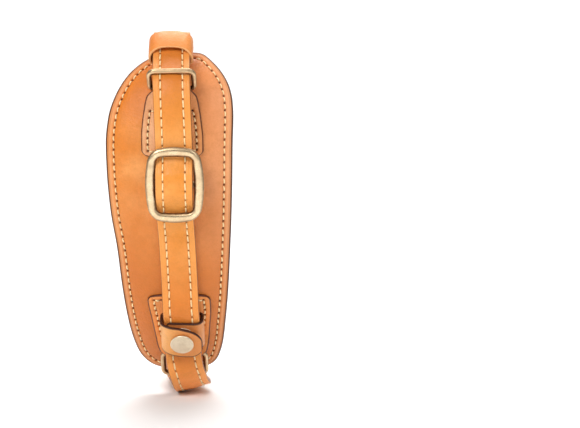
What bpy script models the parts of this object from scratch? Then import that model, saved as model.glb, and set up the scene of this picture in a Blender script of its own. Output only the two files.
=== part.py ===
"""A camera hand strap of saddle leather, as it stands when it is buckled to a camera.

A shaped pad lies over the back of the hand. A stitched strap runs down its front, through a
brass slide buckle and two brass rings that leather patches hold on the pad. The strap's upper
fold hangs on the camera's strap lug and its lower fold goes round the bar of a base plate.
The row's origin is the middle of the upper fold, X is to the right and Y is away from the viewer.

Every piece is placed by three lengths: u runs down the middle of the pad's face from its top
edge, v stands out from that face, and x goes across. Sizes are in millimetres until place().
"""

import math

import bmesh
import bpy
import numpy as np
from mathutils import Matrix, Vector

MM = 0.001
GAP = 0.3

# Leather thicknesses
STRAP_THICK = 1.8
SKIVED_THICK = 1.0
PATCH_THICK = 1.3
KEEPER_THICK = 0.9
PAD_FACE_THICK = 1.6
PAD_BACK_THICK = 2.6
EDGE_CHAMFER = 0.25

# Pad
PAD_LENGTH = 122.0
PAD_WIDTH = 41.4
PAD_SAG = 3.2

# Strap, keepers and patches
STRAP_WIDTH = 12.1
SIDE_ROOM = 0.3
STRAP_LIFT = 2.1
LUG_GAP = 5.0
LUG_WAIST = 0.8
LUG_WAIST_AT = 0.35
BASE_GAP = 5.0
BASE_FOLD_RADIUS = 2.0
BASE_FLAT_LENGTH = 6.5
TIP_ROOM = 0.6
TOP_KEEPER_WIDTH = 8.5
TOP_KEEPER_DOME = 1.2
TOP_KEEPER_LEAD = 1.0
SNAP_KEEPER_WIDTH = 10.4
TOP_PATCH_WIDTH = 20.1
BASE_PATCH_WIDTH = 21.0
PATCH_CORNER = 2.0
PATCH_ARCH = 1.8
UNDER_PLY_LENGTH = 4.4
PLY_STEP_LENGTH = 2.8
KEEPER_CORNER = 1.1
FLAP_CORNER = 4.5
FLAP_TIP_CORNER = 4.2
FLAP_NOTCH = 1.5
FLAP_BELLY = 0.8
INNER_FLAP_LENGTH = 11.9
INNER_FLAP_CORNER = 1.2

# Brass
RING_WIRE = 1.7
RING_CORNER = 1.9
SLIDE_HEIGHT = 19.9
SLIDE_SIDE_BAR = 2.3
SLIDE_END_BAR = 2.1
SLIDE_CENTRE_BAR = 2.0
SLIDE_POST = 1.8
SLIDE_CORNER = 1.6
SLIDE_DISH = 3.2
SLIDE_INNER_BOW = 0.45
SLIDE_OUTER_BOW = 1.0
SLIDE_EDGE = 0.7
SLIDE_CREST_ABOVE = 2.0
SLIDE_CREST_BELOW = 1.5
SNAP_CAP_DIAMETER = 7.7
SNAP_CAP_THICK = 0.7
SNAP_CAP_DOME = 0.35
SNAP_POST_DIAMETER = 3.0
SNAP_SOCKET_DIAMETER = 5.6
SNAP_SOCKET_THICK = 1.0
SNAP_SOCKET_ROOF = 0.3
SNAP_HOLLOW_DIAMETER = 3.4
SNAP_STUD_DIAMETER = 8.4
SNAP_STUD_THICK = 0.4

# Lean of the pad's face: how far its line down the middle turns from upright, in degrees.
# Minus leans back at the top, plus leans back under the hand. Shares are of PAD_LENGTH.
PAD_LEAN = [
    # share, degrees
    (0.00, -42.0),
    (0.08, -33.0),
    (0.16, -20.0),
    (0.27, -3.0),
    (0.41, 12.0),
    (0.53, 19.0),
    (0.66, 25.0),
    (0.77, 32.0),
    (0.87, 38.0),
    (1.00, 41.0),
]

# The strap leaves the pad's line at both ends, back to the lug and under to the base bar
TOP_BEND = [
    # share, degrees
    (-0.26, -90.0),
    (-0.20, -90.0),
    (-0.15, -104.0),
    (-0.10, -116.0),
    (-0.06, -114.0),
    (-0.03, -98.0),
    (0.005, -62.0),
    (0.055, -38.0),
]
BASE_BEND = [
    # share, degrees
    (0.925, 43.0),
    (0.96, 57.0),
    (1.00, 80.0),
    (1.035, 90.0),
    (1.45, 90.0),
]
STRAP_LEAN = TOP_BEND + PAD_LEAN[2:-1] + BASE_BEND
CROWN_AT = 0.27

# The strap wanders a little across the pad. Shares are of PAD_LENGTH and of STRAP_WIDTH.
WANDER = [
    # share down, share across
    (-0.26, -0.10),
    (0.05, -0.08),
    (0.12, -0.05),
    (0.30, 0.02),
    (0.45, 0.03),
    (0.60, 0.075),
    (0.72, 0.11),
    (0.79, 0.15),
    (0.97, 0.15),
    (1.02, 0.10),
    (1.10, 0.00),
    (1.45, 0.00),
]

# Past the snap keeper the front layer leans further right than the layer behind it, and turns
# about its right edge so that its left edge stands out. Shares are of PAD_LENGTH and STRAP_WIDTH.
FRONT_LEAN = [
    # share down, share across, degrees
    (-0.26, 0.00, 0.0),
    (0.86, 0.00, 0.0),
    (0.94, 0.12, 15.0),
    (1.01, 0.25, 13.0),
    (1.07, 0.18, 10.0),
    (1.17, 0.00, 0.0),
    (1.45, 0.00, 0.0),
]

# The pad's outline. Shares are of PAD_LENGTH down and of half PAD_WIDTH to each side.
PAD_OUTLINE = [
    # share down, left, right
    (0.000, 0.05, 0.43),
    (0.009, 0.27, 0.49),
    (0.021, 0.43, 0.54),
    (0.042, 0.60, 0.64),
    (0.070, 0.75, 0.75),
    (0.107, 0.88, 0.85),
    (0.146, 0.975, 0.905),
    (0.190, 1.045, 0.925),
    (0.270, 1.087, 0.915),
    (0.365, 1.072, 0.908),
    (0.467, 1.030, 0.893),
    (0.580, 0.942, 0.865),
    (0.705, 0.885, 0.825),
    (0.828, 0.810, 0.765),
    (0.893, 0.745, 0.725),
    (0.943, 0.660, 0.665),
    (0.975, 0.540, 0.590),
    (0.992, 0.400, 0.470),
    (1.000, 0.220, 0.300),
]

# Half widths of a patch from its sewn end to the ring, as shares of half its full width
TOP_PATCH_OUTLINE = [
    # share of the way to the ring, half width
    (0.00, 1.000),
    (0.30, 1.000),
    (0.52, 0.965),
    (0.74, 0.900),
    (0.88, 0.820),
    (1.00, 0.560),
]
BASE_PATCH_OUTLINE = [
    # share of the way to the ring, half width
    (0.00, 1.000),
    (0.20, 0.990),
    (0.50, 0.925),
    (0.80, 0.850),
    (0.92, 0.760),
    (1.00, 0.540),
]

# Where things sit down the pad, as shares of PAD_LENGTH
LUG_FOLD_AT = -0.225
TOP_KEEPER_AT = 0.029
TOP_RING_AT = 0.133
TOP_PATCH_END = 0.315
SLIDE_AT = 0.372
PAD_CONTACT_FROM = 0.545
PAD_CONTACT_TO = 0.660
BASE_PATCH_END = 0.701
SNAP_KEEPER_AT = 0.801
BASE_RING_AT = 0.902
BASE_FOLD_AT = 1.26
TAIL_INSET = 1.5

TOP_RING_TILT = 67.0
BASE_RING_TILT = 22.0
RING_DIP = 0.9


def curve_through(rows, column=1):
    """A smooth function of the first column that passes through the given one without overshoot."""
    xs = np.array([row[0] for row in rows], float)
    ys = np.array([row[column] for row in rows], float)
    steps = np.diff(ys) / np.diff(xs)
    slopes = np.zeros(len(xs))
    for i in range(1, len(xs) - 1):
        if steps[i - 1] * steps[i] > 0:
            slopes[i] = 2 / (1 / steps[i - 1] + 1 / steps[i])

    def value(x):
        x = min(max(x, xs[0]), xs[-1])
        i = min(max(int(np.searchsorted(xs, x)) - 1, 0), len(xs) - 2)
        wide = xs[i + 1] - xs[i]
        t = (x - xs[i]) / wide
        rise = ys[i + 1] - ys[i]
        start, end = slopes[i] * wide, slopes[i + 1] * wide
        return float(
            ys[i] + t * (start + t * (3 * rise - 2 * start - end + t * (start + end - 2 * rise)))
        )

    return value


class Line:
    """A line down the part's middle plane, added up from its lean in short steps."""

    def __init__(self, lean_rows):
        self.lean_at = curve_through(lean_rows)
        self.u = np.linspace(lean_rows[0][0], lean_rows[-1][0], 1600) * PAD_LENGTH
        lean = np.radians([self.lean_at(u / PAD_LENGTH) for u in self.u])
        step = np.diff(self.u, prepend=self.u[0])
        self.y = np.cumsum(np.sin(lean) * step)
        self.z = np.cumsum(-np.cos(lean) * step)
        crown = CROWN_AT * PAD_LENGTH
        self.y -= np.interp(crown, self.u, self.y)
        self.z -= np.interp(crown, self.u, self.z)

    def point(self, u):
        """The line's own point at u, with the crown of the pad at zero."""
        y, z = np.interp(u, self.u, self.y), np.interp(u, self.u, self.z)
        return Vector((0.0, float(y), float(z)))

    def directions(self, u):
        """The ways down the line and out from it."""
        lean = math.radians(self.lean_at(u / PAD_LENGTH))
        down = Vector((0, math.sin(lean), -math.cos(lean)))
        return down, Vector((0, -math.cos(lean), -math.sin(lean)))

    def height_of(self, point):
        """Where a point lies beside the line: its u and its height v."""
        nearest = int(np.argmin((self.y - point.y) ** 2 + (self.z - point.z) ** 2))
        u = float(self.u[nearest])
        return u, (point - self.point(u)).dot(self.directions(u)[1])


pad_line = Line(PAD_LEAN)
strap_line = Line(STRAP_LEAN)
wander_at = curve_through(WANDER)


def beside_strap(u, v, x=0.0):
    """A point beside the strap's line from its three lengths, with the crown of the pad at zero."""
    across = Vector((wander_at(u / PAD_LENGTH) * STRAP_WIDTH + x, 0, 0))
    return strap_line.point(u) + across + strap_line.directions(u)[1] * v


# Heights above the pad's face at which each layer's middle lies
PITCH = STRAP_THICK + GAP
PATCH_ON_PAD = GAP + PATCH_THICK / 2
PATCH_ON_PLY = PATCH_ON_PAD + PATCH_THICK + GAP
RING_BAR_V = GAP + PATCH_THICK + GAP + RING_WIRE / 2
LOOP_RADIUS = RING_WIRE / 2 + GAP + PATCH_THICK / 2
LOOP_TOP = RING_BAR_V + LOOP_RADIUS + PATCH_THICK / 2
STRAP_ON_PAD = GAP + STRAP_THICK / 2
STRAP_ON_PATCH = 2 * GAP + PATCH_THICK + STRAP_THICK / 2
STRAP_ON_LOOP = LOOP_TOP + GAP + STRAP_THICK / 2
KEEPER_OFFSET = STRAP_THICK / 2 + GAP + KEEPER_THICK / 2
WIRE_OFFSET = STRAP_THICK / 2 + GAP + RING_WIRE / 2
STRAP_IN_SNAP_KEEPER = STRAP_ON_PATCH + KEEPER_THICK + GAP

# Stations down the pad in millimetres
lug_u = LUG_FOLD_AT * PAD_LENGTH
top_keeper_u = TOP_KEEPER_AT * PAD_LENGTH
top_ring_u = TOP_RING_AT * PAD_LENGTH
slide_u = SLIDE_AT * PAD_LENGTH
snap_u = SNAP_KEEPER_AT * PAD_LENGTH
base_ring_u = BASE_RING_AT * PAD_LENGTH
base_u = BASE_FOLD_AT * PAD_LENGTH

# The upper ring stands over both layers of the strap, and sets the height of both rings
top_ring_rise = STRAP_ON_LOOP + PITCH - RING_DIP + WIRE_OFFSET - RING_BAR_V
RING_SPAN = top_ring_rise / math.sin(math.radians(TOP_RING_TILT))
top_ring_bar_u = top_ring_u - RING_SPAN * math.cos(math.radians(TOP_RING_TILT))
base_ring_bar_u = base_ring_u + RING_SPAN * math.cos(math.radians(BASE_RING_TILT))
base_ring_bar_v = RING_BAR_V + RING_SPAN * math.sin(math.radians(BASE_RING_TILT))

# The slide buckle's bars: the strap dips under both ends and rises over the centre bar
slide_top_u = slide_u - SLIDE_HEIGHT / 2
slide_low_u = slide_u + SLIDE_HEIGHT / 2
strap_under_slide = STRAP_ON_PATCH + PITCH
slide_end_v = strap_under_slide + STRAP_THICK / 2 + 2 * GAP + SLIDE_END_BAR / 2
slide_centre_v = slide_end_v - SLIDE_DISH
slide_loop_radius = SLIDE_CENTRE_BAR / 2 + GAP + SKIVED_THICK / 2
slide_corner_room = SLIDE_END_BAR / 2 + SLIDE_CORNER / 2
strap_over_slide = slide_centre_v + slide_loop_radius + SKIVED_THICK / 2 + GAP + STRAP_THICK / 2

# The pad's two ends stand out beside the strap's line, and the strap clears them
pad_top_v = strap_line.height_of(pad_line.point(0.0))[1]
pad_tip_u, pad_tip_v = strap_line.height_of(pad_line.point(PAD_LENGTH))
STRAP_IN_TOP_KEEPER = max(0.0, pad_top_v) + STRAP_ON_PAD + KEEPER_THICK + GAP

# The folds at the strap's two ends
lug_radius = (LUG_GAP + STRAP_THICK) / 2
lug_v = STRAP_IN_TOP_KEEPER + PITCH / 2
base_reach = (BASE_GAP + STRAP_THICK) / 2
base_front_v = pad_tip_v + STRAP_ON_PAD + PITCH
base_v = base_front_v - base_reach
base_flat_from = base_u - BASE_FLAT_LENGTH


def length_at(u, v, length):
    """How much of u a length takes at height v, where the line's bend spreads it out."""
    ends = [strap_line.point(u + way) + strap_line.directions(u + way)[1] * v for way in (-1, 1)]
    return length * 2 / (ends[1] - ends[0]).length


top_keeper_reach = length_at(top_keeper_u, STRAP_IN_TOP_KEEPER + PITCH, TOP_KEEPER_WIDTH)
top_keeper_low = top_keeper_u + top_keeper_reach / 2
top_keeper_high = top_keeper_u - top_keeper_reach / 2
snap_low = snap_u + SNAP_KEEPER_WIDTH / 2
snap_high = snap_u - SNAP_KEEPER_WIDTH / 2
tail_u = snap_high + TAIL_INSET

waist_u = lug_u + LUG_WAIST_AT * (top_keeper_high - lug_u)
lift_u = (top_ring_u + slide_top_u) / 2
lifted_v = STRAP_ON_PATCH + STRAP_LIFT

# Heights of the strap's layers from the top of the part to its base
back_layer_v = curve_through([
    (lug_u, lug_v - lug_radius),
    (waist_u, lug_v - LUG_WAIST * lug_radius),
    (top_keeper_high - TOP_KEEPER_LEAD, STRAP_IN_TOP_KEEPER),
    (top_keeper_low, STRAP_IN_TOP_KEEPER),
    (top_ring_bar_u, STRAP_ON_LOOP - RING_DIP),
    (top_ring_u, STRAP_ON_LOOP),
    (lift_u, lifted_v),
    (slide_top_u, STRAP_ON_PATCH),
    (slide_u, slide_centre_v - slide_loop_radius),
])
front_layer_v = curve_through([
    (lug_u, lug_v + lug_radius),
    (waist_u, lug_v + LUG_WAIST * lug_radius),
    (top_keeper_high - TOP_KEEPER_LEAD, STRAP_IN_TOP_KEEPER + PITCH),
    (top_keeper_low, STRAP_IN_TOP_KEEPER + PITCH),
    (top_ring_bar_u, STRAP_ON_LOOP + PITCH - RING_DIP),
    (top_ring_u, STRAP_ON_LOOP + PITCH),
    (lift_u, lifted_v + PITCH),
    (slide_top_u, strap_under_slide),
    (slide_top_u + slide_corner_room, strap_under_slide),
    (slide_u - SLIDE_CREST_ABOVE, strap_over_slide),
    (slide_u + SLIDE_CREST_BELOW, strap_over_slide),
    (slide_low_u - slide_corner_room, strap_under_slide),
    (slide_low_u, strap_under_slide - GAP),
    (PAD_CONTACT_FROM * PAD_LENGTH, STRAP_ON_PAD),
    (PAD_CONTACT_TO * PAD_LENGTH, STRAP_ON_PAD),
    (tail_u - GAP, STRAP_IN_SNAP_KEEPER + PITCH),
    (snap_low, STRAP_IN_SNAP_KEEPER + PITCH),
    (base_ring_u, STRAP_ON_LOOP + PITCH),
    (base_ring_bar_u, base_ring_bar_v + WIRE_OFFSET),
    (pad_tip_u, pad_tip_v + STRAP_ON_PAD + TIP_ROOM + PITCH),
    (base_flat_from, base_v + base_reach),
    (base_u, base_v + base_reach),
])
return_layer_v = curve_through([
    (tail_u, STRAP_IN_SNAP_KEEPER),
    (snap_low, STRAP_IN_SNAP_KEEPER),
    (base_ring_u, STRAP_ON_LOOP),
    (base_ring_bar_u, base_ring_bar_v - WIRE_OFFSET),
    (pad_tip_u, pad_tip_v + STRAP_ON_PAD + TIP_ROOM),
    (base_flat_from, base_v - base_reach),
    (base_u, base_v - base_reach),
])

# The row's origin is the middle of the lug fold
ORIGIN = beside_strap(lug_u, lug_v)


def place(u, v, x=0.0):
    """A point beside the strap's line in metres, from its three lengths in millimetres."""
    return (beside_strap(u, v, x) - ORIGIN) * MM


def place_on_pad(u, v, x):
    """A point beside the pad's line in metres, with x from the pad's own middle."""
    _, outward = pad_line.directions(u)
    return (pad_line.point(u) + Vector((x, 0, 0)) + outward * v - ORIGIN) * MM


def sag(x):
    """How far the pad's face falls back at x, because it wraps the hand."""
    return PAD_SAG * (2 * x / PAD_WIDTH) ** 2


# Scene, collections and materials
for old in list(bpy.data.objects):
    bpy.data.objects.remove(old)
parts = bpy.data.collections.new("camera_hand_strap")
cutters = bpy.data.collections.new("cutters")
bpy.context.scene.collection.children.link(parts)
bpy.context.scene.collection.children.link(cutters)
cutters.hide_render = True


def material(name, colour, roughness, metallic=0.0):
    """A plain Principled material."""
    made = bpy.data.materials.new(name)
    made.use_nodes = True
    shader = made.node_tree.nodes["Principled BSDF"]
    shader.inputs["Base Color"].default_value = (*colour, 1.0)
    shader.inputs["Roughness"].default_value = roughness
    shader.inputs["Metallic"].default_value = metallic
    return made


saddle_leather = material("saddle_leather", (0.78, 0.33, 0.10), 0.45)
pad_leather = material("pad_leather", (0.72, 0.28, 0.09), 0.5)
lining_leather = material("lining_leather", (0.66, 0.42, 0.26), 0.75)
antique_brass = material("antique_brass", (0.62, 0.50, 0.30), 0.35, 1.0)


def add_object(name, data, finish, collection=parts):
    """Links a new object that carries one material."""
    made = bpy.data.objects.new(name, data)
    data.materials.append(finish)
    collection.objects.link(made)
    return made


def sheet_mesh(name, rows, closed=False):
    """An open mesh through equal rows of points, or a band whose last row joins its first."""
    mesh = bpy.data.meshes.new(name)
    build = bmesh.new()
    grid = [[build.verts.new(point) for point in row] for row in rows]
    if closed:
        grid.append(grid[0])
    for near, far in zip(grid, grid[1:]):
        for i in range(len(near) - 1):
            build.faces.new((near[i], far[i], far[i + 1], near[i + 1]))
    build.to_mesh(mesh)
    build.free()
    return mesh


def thicken(made, thickness, offset=0.0, chamfer=EDGE_CHAMFER):
    """Turns an open sheet into leather of that thickness with chamfered edges."""
    solid = made.modifiers.new("thickness", "SOLIDIFY")
    solid.thickness = thickness * MM
    solid.offset = offset
    solid.use_even_offset = True
    edge = made.modifiers.new("edge", "BEVEL")
    edge.width = chamfer * MM
    edge.segments = 1
    edge.limit_method = "ANGLE"
    edge.angle_limit = math.radians(60)
    made.data.shade_smooth()
    made.data.set_sharp_from_angle(angle=math.radians(40))
    return solid


def spread(start, end, count):
    """Evenly spaced values, both ends included."""
    return [float(value) for value in np.linspace(start, end, count)]


def arc(u, v, radius, start, end, count):
    """Points of an arc; its angle is 0 outward from the pad and 90 degrees down it."""
    return [
        (u + radius * math.sin(math.radians(angle)), v + radius * math.cos(math.radians(angle)))
        for angle in spread(start, end, count)
    ]


# Pad: the leather face and the padded back are sewn together round their edge
PAD_ROWS = 30
PAD_COLUMNS = 11
pad_left = curve_through(PAD_OUTLINE, 1)
pad_right = curve_through(PAD_OUTLINE, 2)


def pad_rows():
    """Rows across the pad's face, closer together towards its two ends."""
    rows = []
    for angle in spread(0, math.pi, PAD_ROWS):
        share = (1 - math.cos(angle)) / 2
        left = -pad_left(share) * PAD_WIDTH / 2
        right = pad_right(share) * PAD_WIDTH / 2
        rows.append([
            place_on_pad(share * PAD_LENGTH, -sag(x), x)
            for x in spread(left, right, PAD_COLUMNS)
        ])
    return rows


pad_face = add_object("pad_face", sheet_mesh("pad_face", pad_rows()), pad_leather)
thicken(pad_face, PAD_FACE_THICK, offset=-1.0)
pad_back = add_object("pad_back", sheet_mesh("pad_back", pad_rows()), lining_leather)
behind = pad_back.modifiers.new("behind_the_face", "DISPLACE")
behind.direction = "NORMAL"
behind.mid_level = 0.0
behind.strength = -(PAD_FACE_THICK + GAP) * MM
thicken(pad_back, PAD_BACK_THICK, offset=-1.0, chamfer=3 * EDGE_CHAMFER)


# Strap: one stitched band from the slide buckle's centre bar to its tail in the snap keeper
STRAP_STEP = 2.4
FOLD_POINTS = 9
SKIVE_ROWS = 4
SKIVED_TAB_ANGLE = -35


def run(start, end, height):
    """Points along a layer of the strap, without its last one."""
    count = max(2, round(abs(end - start) / STRAP_STEP) + 1)
    return [(u, height(u)) for u in spread(start, end, count)][:-1]


flat_half = base_reach - BASE_FOLD_RADIUS
strap_route = arc(
    slide_u, slide_centre_v, slide_loop_radius, SKIVED_TAB_ANGLE, 180, FOLD_POINTS
)[:-1]
skived_points = len(strap_route) + 1
strap_route += run(slide_u, lug_u, back_layer_v)
strap_route += arc(lug_u, lug_v, lug_radius, 180, 360, FOLD_POINTS + 2)[:-1]
front_from = len(strap_route)
strap_route += run(lug_u, base_u, front_layer_v)
front_to = len(strap_route)
strap_route += arc(base_u, base_v + flat_half, BASE_FOLD_RADIUS, 0, 90, 5)
strap_route += arc(base_u, base_v - flat_half, BASE_FOLD_RADIUS, 90, 180, 5)[:-1]
strap_route += run(base_u, tail_u, return_layer_v)
strap_route.append((tail_u, return_layer_v(tail_u)))

front_lean_at = curve_through(FRONT_LEAN, 1)
front_turn_at = curve_through(FRONT_LEAN, 2)
strap_rows = []
for row, (u, v) in enumerate(strap_route):
    is_front = front_from <= row < front_to
    right_edge = STRAP_WIDTH / 2 + is_front * front_lean_at(u / PAD_LENGTH) * STRAP_WIDTH
    turn = is_front * math.radians(front_turn_at(u / PAD_LENGTH))
    left_edge = right_edge - STRAP_WIDTH * math.cos(turn)
    left_v = v + STRAP_WIDTH * math.sin(turn)
    strap_rows.append([place(u, left_v, left_edge), place(u, v, right_edge)])
strap = add_object("strap", sheet_mesh("strap", strap_rows), saddle_leather)
full_thickness = strap.vertex_groups.new(name="full_thickness")
for row in range(skived_points, len(strap_rows)):
    weight = min(1.0, (row - skived_points) / SKIVE_ROWS)
    full_thickness.add([2 * row, 2 * row + 1], weight, "REPLACE")
strap_solid = thicken(strap, STRAP_THICK)
strap_solid.vertex_group = full_thickness.name
strap_solid.thickness_vertex_group = SKIVED_THICK / STRAP_THICK


# Patches: each is sewn flat on the pad and folds round its ring's bar back under itself
ACROSS_SHARES = (-1.0, -0.6, 0.0, 0.6, 1.0)
PATCH_LEFT_OF_STRAP = 0.7


def corner_cut(way, radius):
    """How much a rounded corner takes off an edge at a way in from the end."""
    missing = max(0.0, radius - way)
    return radius - math.sqrt(radius**2 - missing**2)


def patch(name, sewn_end, ring_u, width, outline):
    """A leather patch from its arched sewn end, over a ring's bar and a short way back beneath."""
    toward = 1 if ring_u > sewn_end else -1
    reach = abs(ring_u - sewn_end)
    heights = curve_through([
        (0.0, PATCH_ON_PAD),
        (reach - UNDER_PLY_LENGTH - PLY_STEP_LENGTH, PATCH_ON_PAD),
        (reach - UNDER_PLY_LENGTH + GAP, PATCH_ON_PLY),
        (reach, RING_BAR_V + LOOP_RADIUS),
    ])
    half_at = curve_through(outline)
    neck = half_at(1.0) * width / 2
    ways = [PATCH_CORNER * (1 - math.cos(math.radians(angle))) for angle in (0, 35, 65)]
    rows = []
    for way in ways + spread(PATCH_CORNER, reach, 13):
        half = half_at(way / reach) * width / 2 - corner_cut(way, PATCH_CORNER)
        lies_flat = 1 - (way / reach) ** 3
        arch = 4 * PATCH_ARCH / width**2 * (1 - way / reach) ** 4
        rows.append((sewn_end + toward * way, heights(way), half, lies_flat, arch))
    turn = arc(ring_u, RING_BAR_V, LOOP_RADIUS, 0, 180 * toward, 8)[1:]
    rows += [(u, v, neck, 0.0, 0.0) for u, v in turn]
    under = spread(ring_u, ring_u - toward * UNDER_PLY_LENGTH, 4)[1:]
    rows += [(u, PATCH_ON_PAD, neck, 0.0, 0.0) for u in under]
    points = []
    for u, v, half, lies_flat, arch in rows:
        wander = wander_at(u / PAD_LENGTH) * STRAP_WIDTH
        row = []
        for share in ACROSS_SHARES:
            x = share * half - PATCH_LEFT_OF_STRAP * lies_flat
            arched_u = u + toward * arch * (share * half) ** 2
            row.append(place(arched_u, v - lies_flat * sag(x + wander), x))
        points.append(row)
    thicken(add_object(name, sheet_mesh(name, points), pad_leather), PATCH_THICK)


patch("top_patch", TOP_PATCH_END * PAD_LENGTH, top_ring_u, TOP_PATCH_WIDTH, TOP_PATCH_OUTLINE)
patch("base_patch", BASE_PATCH_END * PAD_LENGTH, base_ring_u, BASE_PATCH_WIDTH, BASE_PATCH_OUTLINE)


# Rings: round brass wire bent to a rectangle and soldered
RING_CORNER_POINTS = 6


def rounded_rectangle(half_width, half_height, radius, corner_points):
    """Points round a rectangle with round corners, as (across, along)."""
    points = []
    for turn, (side, end) in enumerate([(1, 1), (-1, 1), (-1, -1), (1, -1)]):
        for angle in spread(90 * turn, 90 * turn + 90, corner_points):
            points.append((
                side * (half_width - radius) + radius * math.cos(math.radians(angle)),
                end * (half_height - radius) + radius * math.sin(math.radians(angle)),
            ))
    return points


def ring(name, held_u, free_u, free_v):
    """A ring whose held bar lies in a patch's fold, with its free bar lifted off the pad."""
    held = place(held_u, RING_BAR_V) / MM
    free = place(free_u, free_v) / MM
    along = (free - held).normalized()
    middle = (held + free) / 2
    right = Vector((1, 0, 0))
    across = (right - along * right.dot(along)).normalized()
    curve = bpy.data.curves.new(name, "CURVE")
    curve.dimensions = "3D"
    curve.fill_mode = "FULL"
    curve.bevel_depth = RING_WIRE / 2 * MM
    curve.bevel_resolution = 3
    half_width = STRAP_WIDTH / 2 + SIDE_ROOM + RING_WIRE / 2
    half_length = (free - held).length / 2
    loop = rounded_rectangle(half_width, half_length, RING_CORNER, RING_CORNER_POINTS)
    spline = curve.splines.new("POLY")
    spline.points.add(len(loop) - 1)
    for spline_point, (x, y) in zip(spline.points, loop):
        spline_point.co = (*((middle + across * x + along * y) * MM), 1.0)
    spline.use_cyclic_u = True
    spline.use_smooth = True
    add_object(name, curve, antique_brass)


top_ring_v = RING_BAR_V + RING_SPAN * math.sin(math.radians(TOP_RING_TILT))
ring("top_ring", top_ring_u, top_ring_bar_u, top_ring_v)
ring("base_ring", base_ring_u, base_ring_bar_u, base_ring_bar_v)


# Slide buckle: one casting, a bowed frame whose centre bar is set back towards the pad
SLIDE_FACET = 2.5


def bowed_rectangle(half_width, half_height, corner, bow):
    """A rounded rectangle whose four sides swell outward by bow, as (across, along)."""
    corners = rounded_rectangle(half_width, half_height, corner, 5)
    points = []
    for start, end in zip(corners, corners[1:] + corners[:1]):
        steps = max(1, round(math.dist(start, end) / SLIDE_FACET))
        for step in range(steps):
            x = start[0] + (end[0] - start[0]) * step / steps
            y = start[1] + (end[1] - start[1]) * step / steps
            points.append((
                x + math.copysign(bow * (1 - (y / half_height) ** 2), x),
                y + math.copysign(bow * (1 - (x / half_width) ** 2), y),
            ))
    return points


def facing(centre, low, high):
    """A frame at centre with X across, Y from low up to high and Z away from the pad."""
    along = (high - low).normalized()
    right = Vector((1, 0, 0))
    across = (right - along * right.dot(along)).normalized()
    turned = Matrix((across, along, across.cross(along))).transposed()
    return Matrix.Translation(centre) @ turned.to_4x4()


def outline_mesh(name, outlines, half_thickness, rounding):
    """A flat frame cut from plate along closed outlines, the first round the others."""
    curve = bpy.data.curves.new(name, "CURVE")
    curve.dimensions = "2D"
    curve.fill_mode = "BOTH"
    curve.extrude = (half_thickness - rounding) * MM
    curve.bevel_depth = rounding * MM
    curve.bevel_resolution = 1
    for outline in outlines:
        spline = curve.splines.new("POLY")
        spline.points.add(len(outline) - 1)
        for spline_point, (x, y) in zip(spline.points, outline):
            spline_point.co = (x * MM, y * MM, 0.0, 1.0)
        spline.use_cyclic_u = True
    drawn = bpy.data.objects.new(name + "_outline", curve)
    cutters.objects.link(drawn)
    evaluated = drawn.evaluated_get(bpy.context.evaluated_depsgraph_get())
    mesh = bpy.data.meshes.new_from_object(evaluated)
    bpy.data.objects.remove(drawn)
    build = bmesh.new()
    build.from_mesh(mesh)
    bmesh.ops.remove_doubles(build, verts=build.verts, dist=0.00001)
    build.to_mesh(mesh)
    build.free()
    return mesh


def rod_mesh(name, radius, length, segments):
    """A closed round bar along its own Z."""
    mesh = bpy.data.meshes.new(name)
    build = bmesh.new()
    bmesh.ops.create_cone(
        build, cap_ends=True, segments=segments, radius1=radius * MM, radius2=radius * MM,
        depth=length * MM,
    )
    build.to_mesh(mesh)
    build.free()
    return mesh


def helper(name, mesh, matrix):
    """A cutter or an added piece: drawn as wire and never rendered."""
    made = bpy.data.objects.new(name, mesh)
    made.matrix_world = matrix
    made.hide_render = True
    made.display_type = "WIRE"
    cutters.objects.link(made)
    return made


def combine(made, other, operation):
    """A Boolean with the EXACT solver."""
    boolean = made.modifiers.new(other.name, "BOOLEAN")
    boolean.operation = operation
    boolean.object = other
    boolean.solver = "EXACT"


window_half_width = STRAP_WIDTH / 2 + SIDE_ROOM - SLIDE_INNER_BOW / 2
window_half_height = SLIDE_HEIGHT / 2 - SLIDE_END_BAR / 2
slide_low = place(slide_low_u, slide_end_v)
slide_high = place(slide_top_u, slide_end_v)
slide_frame = facing((slide_low + slide_high) / 2, slide_low, slide_high)
slide_outlines = [
    bowed_rectangle(
        window_half_width + SLIDE_SIDE_BAR - SLIDE_EDGE,
        window_half_height + SLIDE_END_BAR - SLIDE_EDGE,
        SLIDE_CORNER + SLIDE_SIDE_BAR / 2,
        SLIDE_OUTER_BOW,
    ),
    bowed_rectangle(
        window_half_width + SLIDE_EDGE, window_half_height + SLIDE_EDGE, SLIDE_CORNER, SLIDE_INNER_BOW
    ),
]
slide = add_object(
    "slide", outline_mesh("slide", slide_outlines, SLIDE_END_BAR / 2, SLIDE_EDGE), antique_brass
)
slide.matrix_world = slide_frame
post_x = window_half_width + SLIDE_INNER_BOW + SLIDE_SIDE_BAR / 2
bar_place = slide_frame.inverted() @ place(slide_u, slide_centre_v)
centre_bar = helper(
    "centre_bar",
    rod_mesh("centre_bar", SLIDE_CENTRE_BAR / 2, 2 * post_x + SLIDE_POST / 2, 12),
    slide_frame
    @ Matrix.Translation((0, bar_place.y, bar_place.z))
    @ Matrix.Rotation(math.pi / 2, 4, "Y"),
)
combine(slide, centre_bar, "UNION")
for side in (-1, 1):
    middle = (side * post_x * MM, bar_place.y, bar_place.z / 2)
    post = helper(
        "bar_post_%+d" % side,
        rod_mesh("bar_post", SLIDE_POST / 2, -bar_place.z / MM, 10),
        slide_frame @ Matrix.Translation(middle),
    )
    combine(slide, post, "UNION")
slide.data.shade_smooth()
slide.data.set_sharp_from_angle(angle=math.radians(50))


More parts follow.
